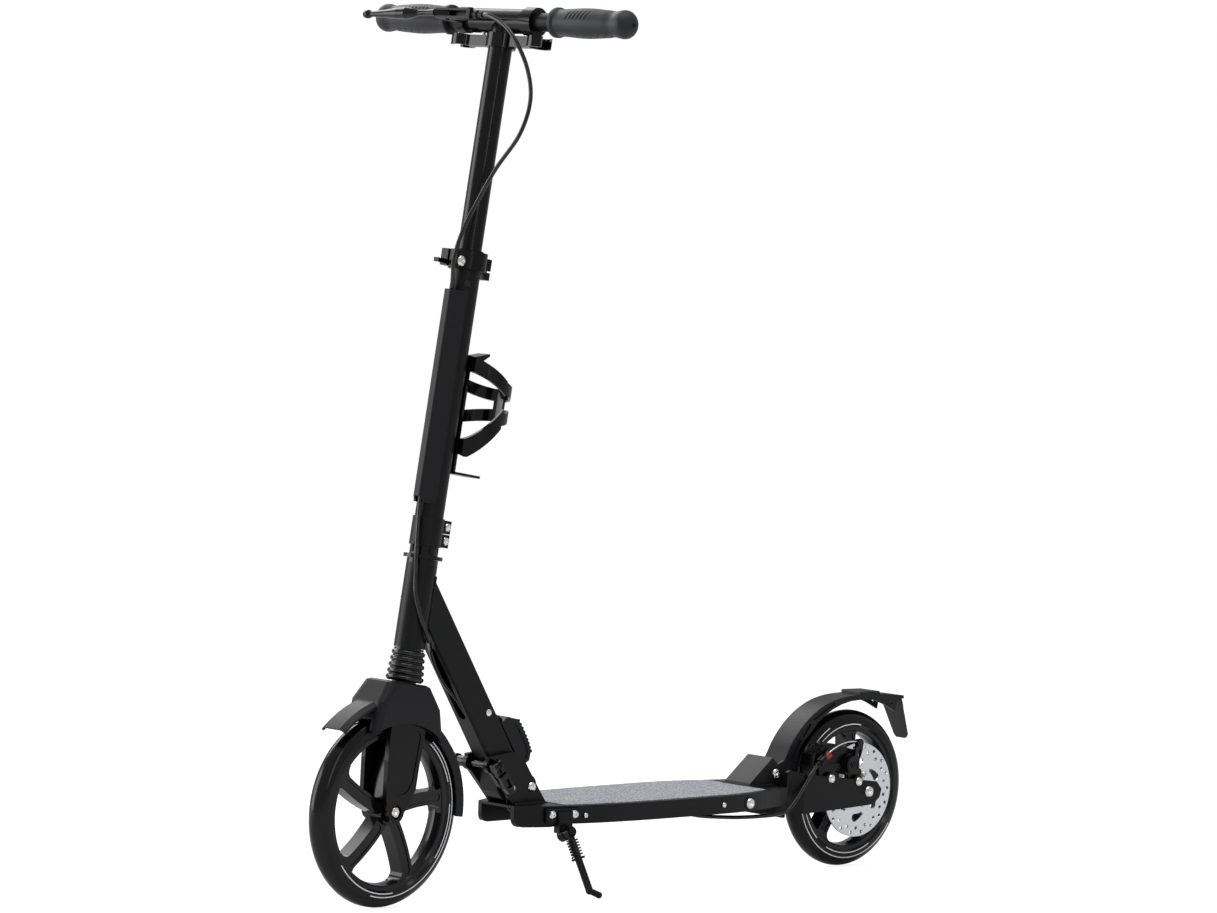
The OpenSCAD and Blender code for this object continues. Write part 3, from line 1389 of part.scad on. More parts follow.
// A grip's outline as a radius along its length, from its inner collar to its bulb end
module grip_profile() {
  w = grip_d / 2;
  n = 24;
  polygon(concat(
    [[0, 0], [w + 1.5, 0], [w + 2, 1.5], [w + 2, 5], [w, 6.5]],
    [for (i = [1 : n]) let (t = i / n)
      [w + 1.8 * sin(180 * t) * sin(180 * t), 6.5 + (grip_len - 34) * t]],
    [for (i = [1 : 18]) let (a = i * 10)
      [(w + 0.8) * sin(min(90, 52 + a * 0.5)) + (i > 7 ? -(w - 7) * pow((i - 7) / 11, 2) : 0),
        grip_len - 27.5 + 27.5 * pow(i / 18, 0.9)]],
    [[0, grip_len]]
  ));
}
module grip() {
  rotate([-90, 0, 0]) rotate_extrude() grip_profile();
}
module left_grip() {
  color(rubber_grey) on_stem() translate([0, grip_in_y, bar_s]) difference() {
    grip();
    y_rod(0, 0, grip_tube_d / 2 + 0.02, -1, grip_len - 10);
  }
}
module grip_tube() {
  difference() {
    y_rod(0, 0, grip_tube_d / 2, 22, grip_in_y + grip_len - 11);
    y_rod(0, 0, grip_tube_d / 2 - 2, 21, grip_in_y + grip_len - 14);
    translate([0, 41, 0]) rotate([0, 180, 0]) cylinder(r = 3.05, h = 30);
  }
}
module left_grip_tube() {
  color(black) on_stem() translate([0, 0, bar_s]) grip_tube();
}
module right_grip() {
  color(rubber_grey) on_stem() translate([0, 0, bar_s]) mirror([0, 1, 0])
    translate([0, grip_in_y, 0]) difference() {
      grip();
      y_rod(0, 0, grip_tube_d / 2 + 0.02, -1, grip_len - 10);
    }
}
module right_grip_tube() {
  color(black) on_stem() translate([0, 0, bar_s]) mirror([0, 1, 0]) difference() {
    y_rod(0, 0, grip_tube_d / 2, 22, grip_in_y + grip_len - 11);
    y_rod(0, 0, grip_tube_d / 2 - 2, 21, grip_in_y + grip_len - 14);
    translate([0, 31, 0]) rotate([0, 180, 0]) cylinder(r = 3.05, h = 30);
  }
}
lever_x = 36;
lever_y = -56;
module lever_housing() {
  color(black) on_stem() translate([0, 0, bar_s]) difference() {
    union() {
      y_rod(0, 0, grip_tube_d / 2 + 4.5, -lever_clamp_y, -56);
      translate([4, -lever_clamp_y, -6]) cube([lever_x + 6, 17, 12]);
      translate([lever_x - 4, -66, -6]) cube([14, 52, 12]);
      translate([lever_x + 3, -15, 0]) rotate([-90, 0, 0]) {
        cylinder(r = 5, h = 9);
        translate([0, 0, 9]) cylinder(r = 3.6, h = 8);
      }
    }
    y_rod(0, 0, grip_tube_d / 2 + 0.02, -100, 0);
    translate([lever_x - 1.5, -lever_clamp_y - 5, -3.4]) cube([20, 56, 6.8]);
    translate([lever_x + 3, lever_y, -20]) cylinder(r = 2.5 + run_gap, h = 40);
    translate([lever_x + 3, 10, 0]) rotate([90, 0, 0]) cylinder(r = 2.6, h = 40);
  }
}
// Radius of the lever's blade along its length, out to the ball at its tip
lever_profile = [
  [0, 4.2], [12, 3.4], [26, 3.6], [36, 6], [46, 7.4], [60, 7], [80, 5], [100, 3.6],
  [104, 3.4], [106, 4.4], [109, 5.3], [112, 5.3], [115, 4.4], [117, 2], [117.5, 0]
];
module brake_lever() {
  color(gloss_black) on_stem() translate([lever_x + 3, lever_y, bar_s]) {
    cylinder(r = 2.5, h = 14, center = true);
    difference() {
      union() {
        cylinder(r = 4.2, h = 6, center = true);
        rotate([0, 0, -70]) translate([0, -4, -3]) cube([18, 8, 6]);
      }
      cylinder(r = 2.4, h = 20, center = true);
    }
    translate([6.2, -15.9, 0]) rotate([92.4, 0, 1]) rotate_extrude()
      polygon(concat([[0, 0]], [for (p = lever_profile) [p[1], p[0]]]));
  }
}
module push_button(y) {
  on_stem() translate([0, y, bar_s]) rotate([0, 180, 0])
    translate([0, 0, grip_tube_d / 2 + 0.1]) cylinder(r = 3, h = tee_r - grip_tube_d / 2 + 2.6);
}
module left_button() {
  color(steel) push_button(41);
}
module right_button() {
  color(steel) push_button(-31);
}

// ---- Brake cable ------------------------------------------------------------------------

function turned(p) = [
  p[0] * cos(parked_steer) - p[1] * sin(parked_steer),
  p[0] * sin(parked_steer) + p[1] * cos(parked_steer), p[2]
];
function from_head(p) = [
  steer_x + p[0] * cos(head_angle) - p[2] * sin(head_angle), p[1],
  p[2] * cos(head_angle) + p[0] * sin(head_angle)
];
// Loop from the lever down to the stem's cover, about the steering axis
upper_route = [
  [39, 2, bar_s], [41, 14, bar_s - 1], [41, 36, bar_s - 9], [38, 58, bar_s - 27],
  [28, 76, bar_s - 60], [25, 86, bar_s - 97], [25, 77, bar_s - 138], [25, 47, bar_s - 180],
  [27, 26, bar_s - 222], [34, 17, bar_s - 258], [37.5, 13.4, bar_s - 288], [35, 12, bar_s - 301],
  [27, 6, bar_s - 314], [22.4, 2.4, bar_s - 325], [21.6, 2, bar_s - 337], [21.5, 2, cover_s + 59]
];
upper_split = 21;
module bar_cable() {
  path = route(upper_route, 3);
  color(black) on_stem() cord(path, 0, upper_split, [1, 0, 0], cable_d);
}
// From the stem's cover to the slot in the down tube, about the steering axis
middle_route = concat(
  [for (p = [[21.5, 2, cover_s + 60], [21.5, 2, cover_s + 16], [21.7, 2.8, cover_s - 1],
    [22.5, 7.5, cover_s - 38], [23.8, 11.9, cover_s - 62]]) from_head(turned(p))],
  [for (p = [[18.5, 13, 394], [16.5, 16, 372], [8.5, 21.5, 347], [-8, 21.4, 323]])
    from_head(p)],
  [[335, 12, 309], [325, 4, 299], [313, 1, 279], [298, 0, 260], [277, 0, 240],
    [256, 0, 214], [236, 0, 190], [211.4, 0, 166], [197.4, 0, 143], [189.4, 0, 127], [189, 0, 114]]
);
middle_split = 6;
module stem_cable() {
  upper = route(upper_route, 3);
  path = route(middle_route, 2);
  color(black) {
    on_stem() cord(upper, upper_split, len(upper) - 1, [1, 0, 0], cable_d);
    standing() cord(path, 0, middle_split, [0.3, 0, -1], cable_d);
  }
}
module down_tube_cable() {
  path = route(middle_route, 2);
  color(black) standing() cord(path, middle_split, len(path) - 1, [0.3, 0.4, -1], cable_d);
}
// Under the deck and up to the calliper
rear_route = [
  [189, 0, 114], [187, 2, 105], [172, 10, 101], [138, 17, 101], [98.5, 18, 101], [20, 20, 99],
  [-58, 20, 95], [-92, 21, 86], [-115, 22.6, 81.5], [-142, 30, 79.5], [-168, 41, 79],
  [-205, 50.5, 80], [-225, 51.3, 81.5], [-239, 51.5, 85.5], [-250, 51.5, 94.5],
  [-262, 51.4, 108], [-272, 50.8, 119.5], [-280.5, 50.3, 129.4], [-292.3, 47, 137.8]
];
rear_split = 20;
module deck_cable() {
  path = route(rear_route, 2);
  color(black) standing() cord(path, 0, rear_split, [0, 0.3, 1], cable_d);
}
module arm_cable() {
  path = route(rear_route, 2);
  color(black) standing() cord(path, rear_split, len(path) - 1, [0, 1, 0.3], cable_d);
}

deck_pan();
griptape();
deck_rails();
fold_bracket();
fender_bracket();
deck_bolts();
clamp_axle();
stand_bracket();
deck_cable();
clamp_lever();
release_pedal();
stand_leg();
stand_spring();
swing_arm();
rear_axle();
shock_rod();
shock_spring();
calliper_body();
calliper_bolts();
arm_cable();
rear_tyre();
rear_rim();
rear_bearings();
brake_rotor();
calliper_arm();
rear_fender();
step_pad();
mud_flap();
fender_spring();
front_frame();
headset();
down_tube_cable();
steerer();
stem_tube();
stem_bolts();
cable_cover();
stem_cable();
height_collar();
bottle_cage();
fork_bellows();
collar_lever();
height_button();
fork();
fork_cover();
front_axle();
fork_spring();
front_tyre();
front_rim();
front_bearings();
handlebar_tee();
grip_clip();
bar_cable();
left_grip();
left_grip_tube();
right_grip();
right_grip_tube();
lever_housing();
brake_lever();
left_button();
right_button();
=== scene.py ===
# %% [markdown]
# # A kick scooter, seen as a product
# The scooter's solids come from its mechanical model: every tube, plate, bolt and wheel is
# already the right shape and size. This script gives them their looks: it places the camera
# and the light, makes each finish as a small node tree, and adds the fine pieces that a
# mechanical model leaves out.

# %% Load the frame
import json
import math

import bmesh
import bpy
from mathutils import Matrix, Vector


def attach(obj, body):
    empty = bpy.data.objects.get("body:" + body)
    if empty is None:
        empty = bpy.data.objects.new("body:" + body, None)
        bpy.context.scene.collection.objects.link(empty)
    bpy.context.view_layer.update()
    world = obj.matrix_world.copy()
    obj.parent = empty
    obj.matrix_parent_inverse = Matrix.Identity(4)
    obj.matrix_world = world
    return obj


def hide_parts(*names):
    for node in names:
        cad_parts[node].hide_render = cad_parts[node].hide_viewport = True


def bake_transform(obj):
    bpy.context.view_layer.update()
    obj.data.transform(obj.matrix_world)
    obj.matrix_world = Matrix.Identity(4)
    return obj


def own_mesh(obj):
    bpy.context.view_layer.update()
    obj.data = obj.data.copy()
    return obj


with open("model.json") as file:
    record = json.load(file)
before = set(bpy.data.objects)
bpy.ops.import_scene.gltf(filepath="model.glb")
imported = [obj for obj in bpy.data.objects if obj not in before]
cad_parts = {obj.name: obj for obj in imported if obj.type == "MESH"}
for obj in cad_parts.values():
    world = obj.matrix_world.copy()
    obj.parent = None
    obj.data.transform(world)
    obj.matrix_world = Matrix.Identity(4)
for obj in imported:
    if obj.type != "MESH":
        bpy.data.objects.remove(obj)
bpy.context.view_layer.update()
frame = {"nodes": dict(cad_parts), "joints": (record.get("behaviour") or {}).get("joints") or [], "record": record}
nodes = frame["nodes"]

# %% [markdown]
# ## Where things are
# The parked scooter leans a little on its side stand and its bar is turned a little to the
# left, so its own axes are not the world's. The joints already know the true directions: the
# steering axis, the wheel axles and the hinge pins. Pieces are placed from those.

# %% Directions from the joints
joints = {j["name"]: j for j in frame["joints"]}
steer_axis = Vector(joints["steering"]["axis"])
steer_foot = Vector(joints["steering"]["pos_m"])
ahead = Vector((1, 0, 0))
side = Vector(joints["fold_hinge"]["axis"])
up = ahead.cross(side)
head_front = side.cross(steer_axis)
bar_side = Vector(joints["left_grip_pull"]["axis"])
bar_front = bar_side.cross(steer_axis)
rear_hub = Vector(joints["rear_wheel_spin"]["pos_m"])
front_hub = Vector(joints["front_wheel_spin"]["pos_m"])
half_wheelbase, rear_radius = 0.388, 0.1
ground = rear_hub + ahead * half_wheelbase - up * rear_radius
print("ground point", ground[:], "steering axis", steer_axis[:])


def on_scooter(x, y, z):
    """A point given in millimetres ahead of, beside and above the middle of the wheelbase."""
    return ground + (ahead * x + side * y + up * z) / 1000


def on_head(x, y, s):
    """A point in millimetres about the steering axis, in line with the frame."""
    return steer_foot + (head_front * x + side * y + steer_axis * s) / 1000


def on_stem(x, y, s):
    """A point in millimetres about the steering axis, turned with the handlebar."""
    return steer_foot + (bar_front * x + bar_side * y + steer_axis * s) / 1000


# %% [markdown]
# ## Camera
# A long lens from the front left, a little above the deck. The camera looks at the scooter
# from about six metres away, which keeps the tubes almost parallel.

# %% Camera
camera_data = bpy.data.cameras.new("camera")
camera_data.sensor_width = 36
camera_data.lens = 151.667
camera = bpy.data.objects.new("camera", camera_data)
right = Vector((-0.726881, 0.686763, -0.000744))
down = Vector((0.00973, 0.009215, -0.99991))
look = Vector((-0.686694, -0.726823, -0.013381))
camera.matrix_world = Matrix.Translation((4.324041, 4.499884, 0.610502)) @ Matrix(
    (right, -down, -look)
).transposed().to_4x4()
bpy.context.scene.collection.objects.link(camera)
bpy.context.scene.camera = camera

# %% [markdown]
# ## Light and floor
# A black product is drawn by what it reflects. One large soft panel stands at the front
# right, one hangs behind and above, and the camera sees both mirrored in the faces that look
# forwards and upwards. The side faces mirror nothing bright and stay deep black. The world
# fills in the rest evenly. The floor and the world look white to the camera, and the floor
# keeps a faint shadow.

# %% World
scene = bpy.context.scene
scene.view_settings.view_transform = "Standard"
world = bpy.data.worlds.new("studio")
scene.world = world
world.use_nodes = True
tree = world.node_tree
tree.nodes.clear()
world_out = tree.nodes.new("ShaderNodeOutputWorld")
path = tree.nodes.new("ShaderNodeLightPath")


def world_light(strength):
    light = tree.nodes.new("ShaderNodeBackground")
    light.inputs["Color"].default_value = (1, 1, 1, 1)
    light.inputs["Strength"].default_value = strength
    return light.outputs[0]


def world_choice(ray, other, chosen):
    mix = tree.nodes.new("ShaderNodeMixShader")
    tree.links.new(path.outputs[ray], mix.inputs["Fac"])
    tree.links.new(other, mix.inputs[1])
    tree.links.new(chosen, mix.inputs[2])
    return mix.outputs[0]


light = world_choice("Is Glossy Ray", world_light(0.4), world_light(0.5))
light = world_choice("Is Transmission Ray", light, world_light(0.5))
light = world_choice("Is Camera Ray", light, world_light(1.0))
tree.links.new(light, world_out.inputs["Surface"])
print("world set")


# %% Lamps
def soft_lamp(name, place, target, width, height, power):
    lamp = bpy.data.lights.new(name, "AREA")
    lamp.shape = "RECTANGLE"
    lamp.size = width
    lamp.size_y = height
    lamp.energy = power
    lamp_object = bpy.data.objects.new(name, lamp)
    lamp_object.location = place
    aim = Vector(target) - Vector(place)
    lamp_object.rotation_euler = aim.to_track_quat("-Z", "Y").to_euler()
    lamp_object.visible_camera = False
    bpy.context.scene.collection.objects.link(lamp_object)


soft_lamp("front_panel", (3.3, -3.3, 1.5), (0, 0, 0.5), 2.8, 2.8, 105)
soft_lamp("back_panel", (-0.4, -3.6, 3.5), (-0.2, 0, 0.3), 3.6, 2.2, 95)
soft_lamp("top_panel", (0.2, 0.6, 3.4), (0, 0, 0.3), 2.6, 1.6, 40)
soft_lamp("left_strip", (1.6, 3.4, 2.2), (0, 0, 0.7), 0.35, 2.6, 12)

# %% Floor
floor_mesh = bpy.data.meshes.new("floor")
floor_bm = bmesh.new()
bmesh.ops.create_grid(floor_bm, x_segments=1, y_segments=1, size=20)
floor_bm.to_mesh(floor_mesh)
floor_bm.free()
floor = bpy.data.objects.new("floor", floor_mesh)
floor.location.z = -0.0005
bpy.context.scene.collection.objects.link(floor)
floor_finish = bpy.data.materials.new("floor")
floor_finish.use_nodes = True
floor_mesh.materials.append(floor_finish)
tree = floor_finish.node_tree
plain = tree.nodes["Principled BSDF"]
plain.inputs["Base Color"].default_value = (0.85, 0.85, 0.86, 1)
plain.inputs["Roughness"].default_value = 0.7
glow = tree.nodes.new("ShaderNodeEmission")
glow.inputs["Color"].default_value = (1, 1, 1, 1)
glow.inputs["Strength"].default_value = 0.86
shade = tree.nodes.new("ShaderNodeBsdfDiffuse")
shade.inputs["Color"].default_value = (0.36, 0.36, 0.36, 1)
both = tree.nodes.new("ShaderNodeAddShader")
tree.links.new(glow.outputs[0], both.inputs[0])
tree.links.new(shade.outputs[0], both.inputs[1])
path = tree.nodes.new("ShaderNodeLightPath")
seen = tree.nodes.new("ShaderNodeMixShader")
tree.links.new(path.outputs["Is Camera Ray"], seen.inputs["Fac"])
tree.links.new(plain.outputs[0], seen.inputs[1])
tree.links.new(both.outputs[0], seen.inputs[2])
tree.links.new(seen.outputs[0], tree.nodes["Material Output"].inputs["Surface"])


# %% [markdown]
# ## Finishes
# Every finish starts from the same Principled shader. What makes a finish look real is what
# changes across it: fine grain in the bump, a little unevenness in the roughness, and soft
# patches of a paler tone. Those effects are node groups, built once.

# %% Small helpers for node trees
def new_group(name, inputs, outputs):
    group = bpy.data.node_groups.new(name, "ShaderNodeTree")
    for label, kind, value in inputs:
        socket = group.interface.new_socket(label, in_out="INPUT", socket_type=kind)
        if value is not None:
            socket.default_value = value
    for label, kind in outputs:
        group.interface.new_socket(label, in_out="OUTPUT", socket_type=kind)
    start = group.nodes.new("NodeGroupInput")
    end = group.nodes.new("NodeGroupOutput")
    return group, start, end


def maths(tree, operation, a, b=None, clamp=False):
    node = tree.nodes.new("ShaderNodeMath")
    node.operation = operation
    node.use_clamp = clamp
    for socket, value in zip(node.inputs, (a, b)):
        if value is None:
            continue
        if isinstance(value, (int, float)):
            socket.default_value = value
        else:
            tree.links.new(value, socket)
    return node.outputs[0]


# %% [markdown]
# ### Fine unevenness
# Powder coat, moulded nylon and rubber all have a grain, only at different scales. One group
# makes it: two noises, fine and coarse, which give a height for the bump and a gentle change
# in roughness.

# %% Node group: grain
grain, start, end = new_group(
    "grain",
    [("Scale", "NodeSocketFloat", 1500.0), ("Fine", "NodeSocketFloat", 1.0),
     ("Roughness", "NodeSocketFloat", 0.4), ("Variation", "NodeSocketFloat", 0.1)],
    [("Height", "NodeSocketFloat"), ("Roughness", "NodeSocketFloat")],
)
place = grain.nodes.new("ShaderNodeTexCoord")
fine = grain.nodes.new("ShaderNodeTexNoise")
fine.inputs["Detail"].default_value = 3
grain.links.new(place.outputs["Object"], fine.inputs["Vector"])
grain.links.new(start.outputs["Scale"], fine.inputs["Scale"])
coarse = grain.nodes.new("ShaderNodeTexNoise")
coarse.inputs["Scale"].default_value = 22
coarse.inputs["Detail"].default_value = 4
grain.links.new(place.outputs["Object"], coarse.inputs["Vector"])
grain.links.new(maths(grain, "MULTIPLY", fine.outputs["Fac"], start.outputs["Fine"]),
                end.inputs["Height"])
swing = maths(grain, "SUBTRACT", coarse.outputs["Fac"], 0.5)
swing = maths(grain, "MULTIPLY", swing, start.outputs["Variation"])
grain.links.new(maths(grain, "ADD", start.outputs["Roughness"], swing, clamp=True),
                end.inputs["Roughness"])


# %% [markdown]
# ### Colour that isn't flat
# Even a plain black part has handling marks, dust in its grain and a slightly uneven coat.
# This group mixes a base colour towards a paler one with a soft large noise and a fine one.

# %% Node group: mottle
mottle, start, end = new_group(
    "mottle",
    [("Base", "NodeSocketColor", (0, 0, 0, 1)), ("Pale", "NodeSocketColor", (1, 1, 1, 1)),
     ("Amount", "NodeSocketFloat", 0.3), ("Scale", "NodeSocketFloat", 60.0)],
    [("Colour", "NodeSocketColor")],
)
place = mottle.nodes.new("ShaderNodeTexCoord")
wide = mottle.nodes.new("ShaderNodeTexNoise")
wide.inputs["Detail"].default_value = 6
wide.inputs["Roughness"].default_value = 0.7
mottle.links.new(place.outputs["Object"], wide.inputs["Vector"])
mottle.links.new(start.outputs["Scale"], wide.inputs["Scale"])
share = maths(mottle, "MULTIPLY", wide.outputs["Fac"], start.outputs["Amount"], clamp=True)
blend = mottle.nodes.new("ShaderNodeMix")
blend.data_type = "RGBA"
mottle.links.new(share, blend.inputs["Factor"])
mottle.links.new(start.outputs["Base"], blend.inputs["A"])
mottle.links.new(start.outputs["Pale"], blend.inputs["B"])
mottle.links.new(blend.outputs["Result"], end.inputs["Colour"])


# %% Finish maker
coat_roughness, bump_distance = 0.06, 0.0004


def finish(name, colour, roughness, metallic=0.0, coat=0.0, scale=1500.0, bump=0.1,
           variation=0.12, sheen=0.0, specular=0.5, pale=None, amount=0.4, mottle_scale=60.0):
    """A material with an uneven colour, and grain in its bump and its roughness."""
    material = bpy.data.materials.new(name)
    material.use_nodes = True
    tree = material.node_tree
    shader = tree.nodes["Principled BSDF"]
    shader.inputs["Metallic"].default_value = metallic
    shader.inputs["Coat Weight"].default_value = coat
    shader.inputs["Coat Roughness"].default_value = coat_roughness
    shader.inputs["Sheen Weight"].default_value = sheen
    shader.inputs["Specular IOR Level"].default_value = specular
    colouring = tree.nodes.new("ShaderNodeGroup")
    colouring.node_tree = mottle
    colouring.inputs["Base"].default_value = (*colour, 1)
    colouring.inputs["Pale"].default_value = (*(pale or [min(1, c * 2) for c in colour]), 1)
    colouring.inputs["Amount"].default_value = amount
    colouring.inputs["Scale"].default_value = mottle_scale
    tree.links.new(colouring.outputs["Colour"], shader.inputs["Base Color"])
    surface = tree.nodes.new("ShaderNodeGroup")
    surface.node_tree = grain
    surface.inputs["Scale"].default_value = scale
    surface.inputs["Roughness"].default_value = roughness
    surface.inputs["Variation"].default_value = variation
    tree.links.new(surface.outputs["Roughness"], shader.inputs["Roughness"])
    relief = tree.nodes.new("ShaderNodeBump")
    relief.inputs["Strength"].default_value = bump
    relief.inputs["Distance"].default_value = bump_distance
    tree.links.new(surface.outputs["Height"], relief.inputs["Height"])
    tree.links.new(relief.outputs["Normal"], shader.inputs["Normal"])
    return material


# %% [markdown]
# ### The scooter's finishes
# The frame has a satin powder coat, the forged fittings a finer one, and the fenders and
# covers are moulded nylon with a matt grain. Tyres, bellows and the bottle cage are glossy.
# All the blacks are nearly as dark as black gets, and differ in how they shine.

# %% Plain finishes
deep = (0.0035, 0.0037, 0.0045)
finishes = {
    "black_paint": finish("black_paint", deep, 0.38, scale=900, bump=0.05, specular=0.2),
    "forged_black": finish(
        "forged_black", (0.0025, 0.0026, 0.0033), 0.26, scale=1300, bump=0.06, specular=0.2),
    "steel": finish("steel", (0.78, 0.77, 0.75), 0.16, metallic=1, scale=2500, bump=0.04,
                    amount=0.1),
    "disc_steel": finish("disc_steel", (0.72, 0.73, 0.76), 0.32, metallic=1, scale=2500,
                         bump=0.05, amount=0.1),
    "nylon_black": finish("nylon_black", (0.0048, 0.005, 0.0062), 0.42, scale=1800, bump=0.15,
                          specular=0.24),
    "gloss_black_plastic": finish(
        "gloss_black_plastic", (0.0018, 0.0018, 0.0022), 0.12, scale=900, bump=0.02,
        specular=0.3, variation=0.05),
    "tyre_black": finish("tyre_black", (0.0025, 0.0025, 0.0033), 0.16, scale=700, bump=0.01,
                         specular=0.26, variation=0.05),
    "grip_rubber": finish("grip_rubber", (0.0125, 0.013, 0.016), 0.46, scale=1300, bump=0.6,
                          specular=0.34, mottle_scale=300),
    "flap_rubber": finish("flap_rubber", (0.009, 0.0093, 0.011), 0.42, scale=1500, bump=0.2,
                          specular=0.3),
    "cable_black": finish("cable_black", (0.002, 0.002, 0.0025), 0.2, scale=900, bump=0.02,
                          specular=0.5),
    "bellows_rubber": finish("bellows_rubber", (0.002, 0.002, 0.0025), 0.16, scale=900,
                             bump=0.02, specular=0.45),
    "wheel_paint": finish("wheel_paint", (0.0022, 0.0022, 0.0028), 0.17, scale=700,
                          bump=0.015, specular=0.3, variation=0.06),
    "tee_paint": finish("tee_paint", (0.0022, 0.0022, 0.0028), 0.2, scale=700, bump=0.015,
                        specular=0.24, variation=0.06),
    "pad_steel": finish("pad_steel", (0.02, 0.02, 0.022), 0.45, metallic=0.6, scale=1500,
                        bump=0.2),
}
white_print = finish("white_print", (0.85, 0.86, 0.88), 0.4, scale=900, bump=0.02, amount=0.1)
red_anodised = finish("red_anodised", (0.3, 0.008, 0.012), 0.3, scale=1500, bump=0.03,
                      amount=0.2)

# %% [markdown]
# ### Grip tape
# Grip tape is grit glued to a sheet: a dark ground with thousands of tiny grains. A Voronoi
# texture gives each grain its own random value, and the brightest few are painted pale into
# the base colour as painted glints of light off the grit, on top of a rough bump.

# %% Finish: grip tape
tape = finish("griptape_grey", (0.13, 0.133, 0.15), 0.55, scale=1500, bump=0.8, specular=0.6,
              amount=0.5, mottle_scale=900)
tree = tape.node_tree
place = tree.nodes.new("ShaderNodeTexCoord")
grains = tree.nodes.new("ShaderNodeTexVoronoi")
grains.inputs["Scale"].default_value = 900
tree.links.new(place.outputs["Object"], grains.inputs["Vector"])
split = tree.nodes.new("ShaderNodeSeparateColor")
tree.links.new(grains.outputs["Color"], split.inputs["Color"])
bright = maths(tree, "POWER", split.outputs["Red"], 3.0)
# Painted glints: pale specks mixed into the tape's base colour stand in for light caught by the grit.
painted_grit_glint = tree.nodes.new("ShaderNodeMix")
painted_grit_glint.data_type = "RGBA"
painted_grit_glint.inputs["B"].default_value = (0.75, 0.76, 0.82, 1)
shader = tree.nodes["Principled BSDF"]
tree.links.new(bright, painted_grit_glint.inputs["Factor"])
tree.links.new(shader.inputs["Base Color"].links[0].from_socket, painted_grit_glint.inputs["A"])
tree.links.new(painted_grit_glint.outputs["Result"], shader.inputs["Base Color"])
finishes["griptape_grey"] = tape

# %% Put the finishes on the CAD nodes
slots = {p["node"]: p["material_slot"] for p in frame["record"]["subparts"]}
special = {"brake_lever": "gloss_black_plastic", "stand_spring": "forged_black",
           "clamp_axle": "wheel_paint", "clamp_lever": "wheel_paint",
           "headset": "wheel_paint", "steerer": "wheel_paint", "front_rim": "wheel_paint",
           "rear_rim": "wheel_paint", "handlebar_tee": "tee_paint",
           "stand_leg": "tee_paint", "calliper_arm": "wheel_paint"}
for name, node_object in nodes.items():
    node_object.data.materials.clear()
    node_object.data.materials.append(finishes[special.get(name, slots[name])])
print("finished", len(nodes), "nodes with", len(finishes), "materials")


# %% [markdown]
# ## New pieces
# Each new piece is one mesh whose object stays at the origin. This helper joins doubled
# points, shades the mesh smooth with its sharp edges kept, and says which body it rides on.

# %% Helper: a finished piece
def add_piece(name, bm, body, material, sharp=40):
    bmesh.ops.remove_doubles(bm, verts=bm.verts, dist=1e-6)
    bmesh.ops.recalc_face_normals(bm, faces=bm.faces)
    mesh = bpy.data.meshes.new(name)
    bm.to_mesh(mesh)
    bm.free()
    mesh.polygons.foreach_set("use_smooth", [True] * len(mesh.polygons))
    mesh.set_sharp_from_angle(angle=math.radians(sharp))
    mesh.materials.append(material)
    piece = bpy.data.objects.new(name, mesh)
    bpy.context.scene.collection.objects.link(piece)
    if body:
        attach(piece, body)
    return piece


def turn_onto(x_axis, y_axis, z_axis, place):
    """The matrix that carries a shape made at the origin to its place."""
    return Matrix.Translation(place) @ Matrix((x_axis, y_axis, z_axis)).transposed().to_4x4()


# %% [markdown]
# ## Brake cable
# One cable runs from the lever down the stem, into the down tube, under the deck and up to
# the calliper. Its casing is 5 mm across. It is swept along the same smooth curve as in the
# mechanical model, in one length for each joint that it crosses.

# %% Cable helpers
def smooth_route(points, steps):
    """Points on a smooth curve through the given ones."""
    route = []
    for i in range(len(points) - 1):
        a, b = points[max(i - 1, 0)], points[i]
        c, d = points[i + 1], points[min(i + 2, len(points) - 1)]
        for k in range(steps):
            t = k / steps
            route.append(0.5 * ((2 * b) + (c - a) * t + (2 * a - 5 * b + 4 * c - d) * t * t
                                + (3 * b - a - 3 * c + d) * t * t * t))
    return route + [points[-1]]


def sweep(name, route, radius, material, sides=5):
    """A round tube along a route, as a mesh with closed ends."""
    curve = bpy.data.curves.new(name, "CURVE")
    curve.dimensions = "3D"
    curve.bevel_depth = radius
    curve.bevel_resolution = sides
    curve.use_fill_caps = True
    spline = curve.splines.new("POLY")
    spline.points.add(len(route) - 1)
    for point, place in zip(spline.points, route):
        point.co = (*place, 1)
    holder = bpy.data.objects.new(name, curve)
    bpy.context.scene.collection.objects.link(holder)
    shape = holder.evaluated_get(bpy.context.evaluated_depsgraph_get())
    bm = bmesh.new()
    bm.from_mesh(shape.to_mesh())
    bpy.data.objects.remove(holder)
    return add_piece(name, bm, None, material)


# %% Cable routes
# Heights of the bar and of the cable cover's lower end along the steering axis, in mm, and
# how many steps the curve takes from one given point to the next.
bar_s, cover_s = 1058.3, 480.3
per_span, deck_per_span = 12, 10
upper_points = [
    (39, 2, bar_s), (41, 14, bar_s - 1), (41, 36, bar_s - 9), (38, 58, bar_s - 27),
    (28, 76, bar_s - 60), (25, 86, bar_s - 97), (25, 77, bar_s - 138), (25, 47, bar_s - 180),
    (27, 26, bar_s - 222), (34, 17, bar_s - 258), (37.5, 13.4, bar_s - 288),
    (35, 12, bar_s - 301), (27, 6, bar_s - 314), (22.4, 2.4, bar_s - 325),
    (21.6, 2, bar_s - 337), (21.5, 2, cover_s + 60),
]
stem_points = [(21.5, 2, cover_s + 60), (21.5, 2, cover_s + 16), (21.7, 2.8, cover_s - 1),
               (22.5, 7.5, cover_s - 38), (23.8, 11.9, cover_s - 62)]
head_points = [(18.5, 13, 394), (16.5, 16, 372), (8.5, 21.5, 347), (-8, 21.4, 323)]
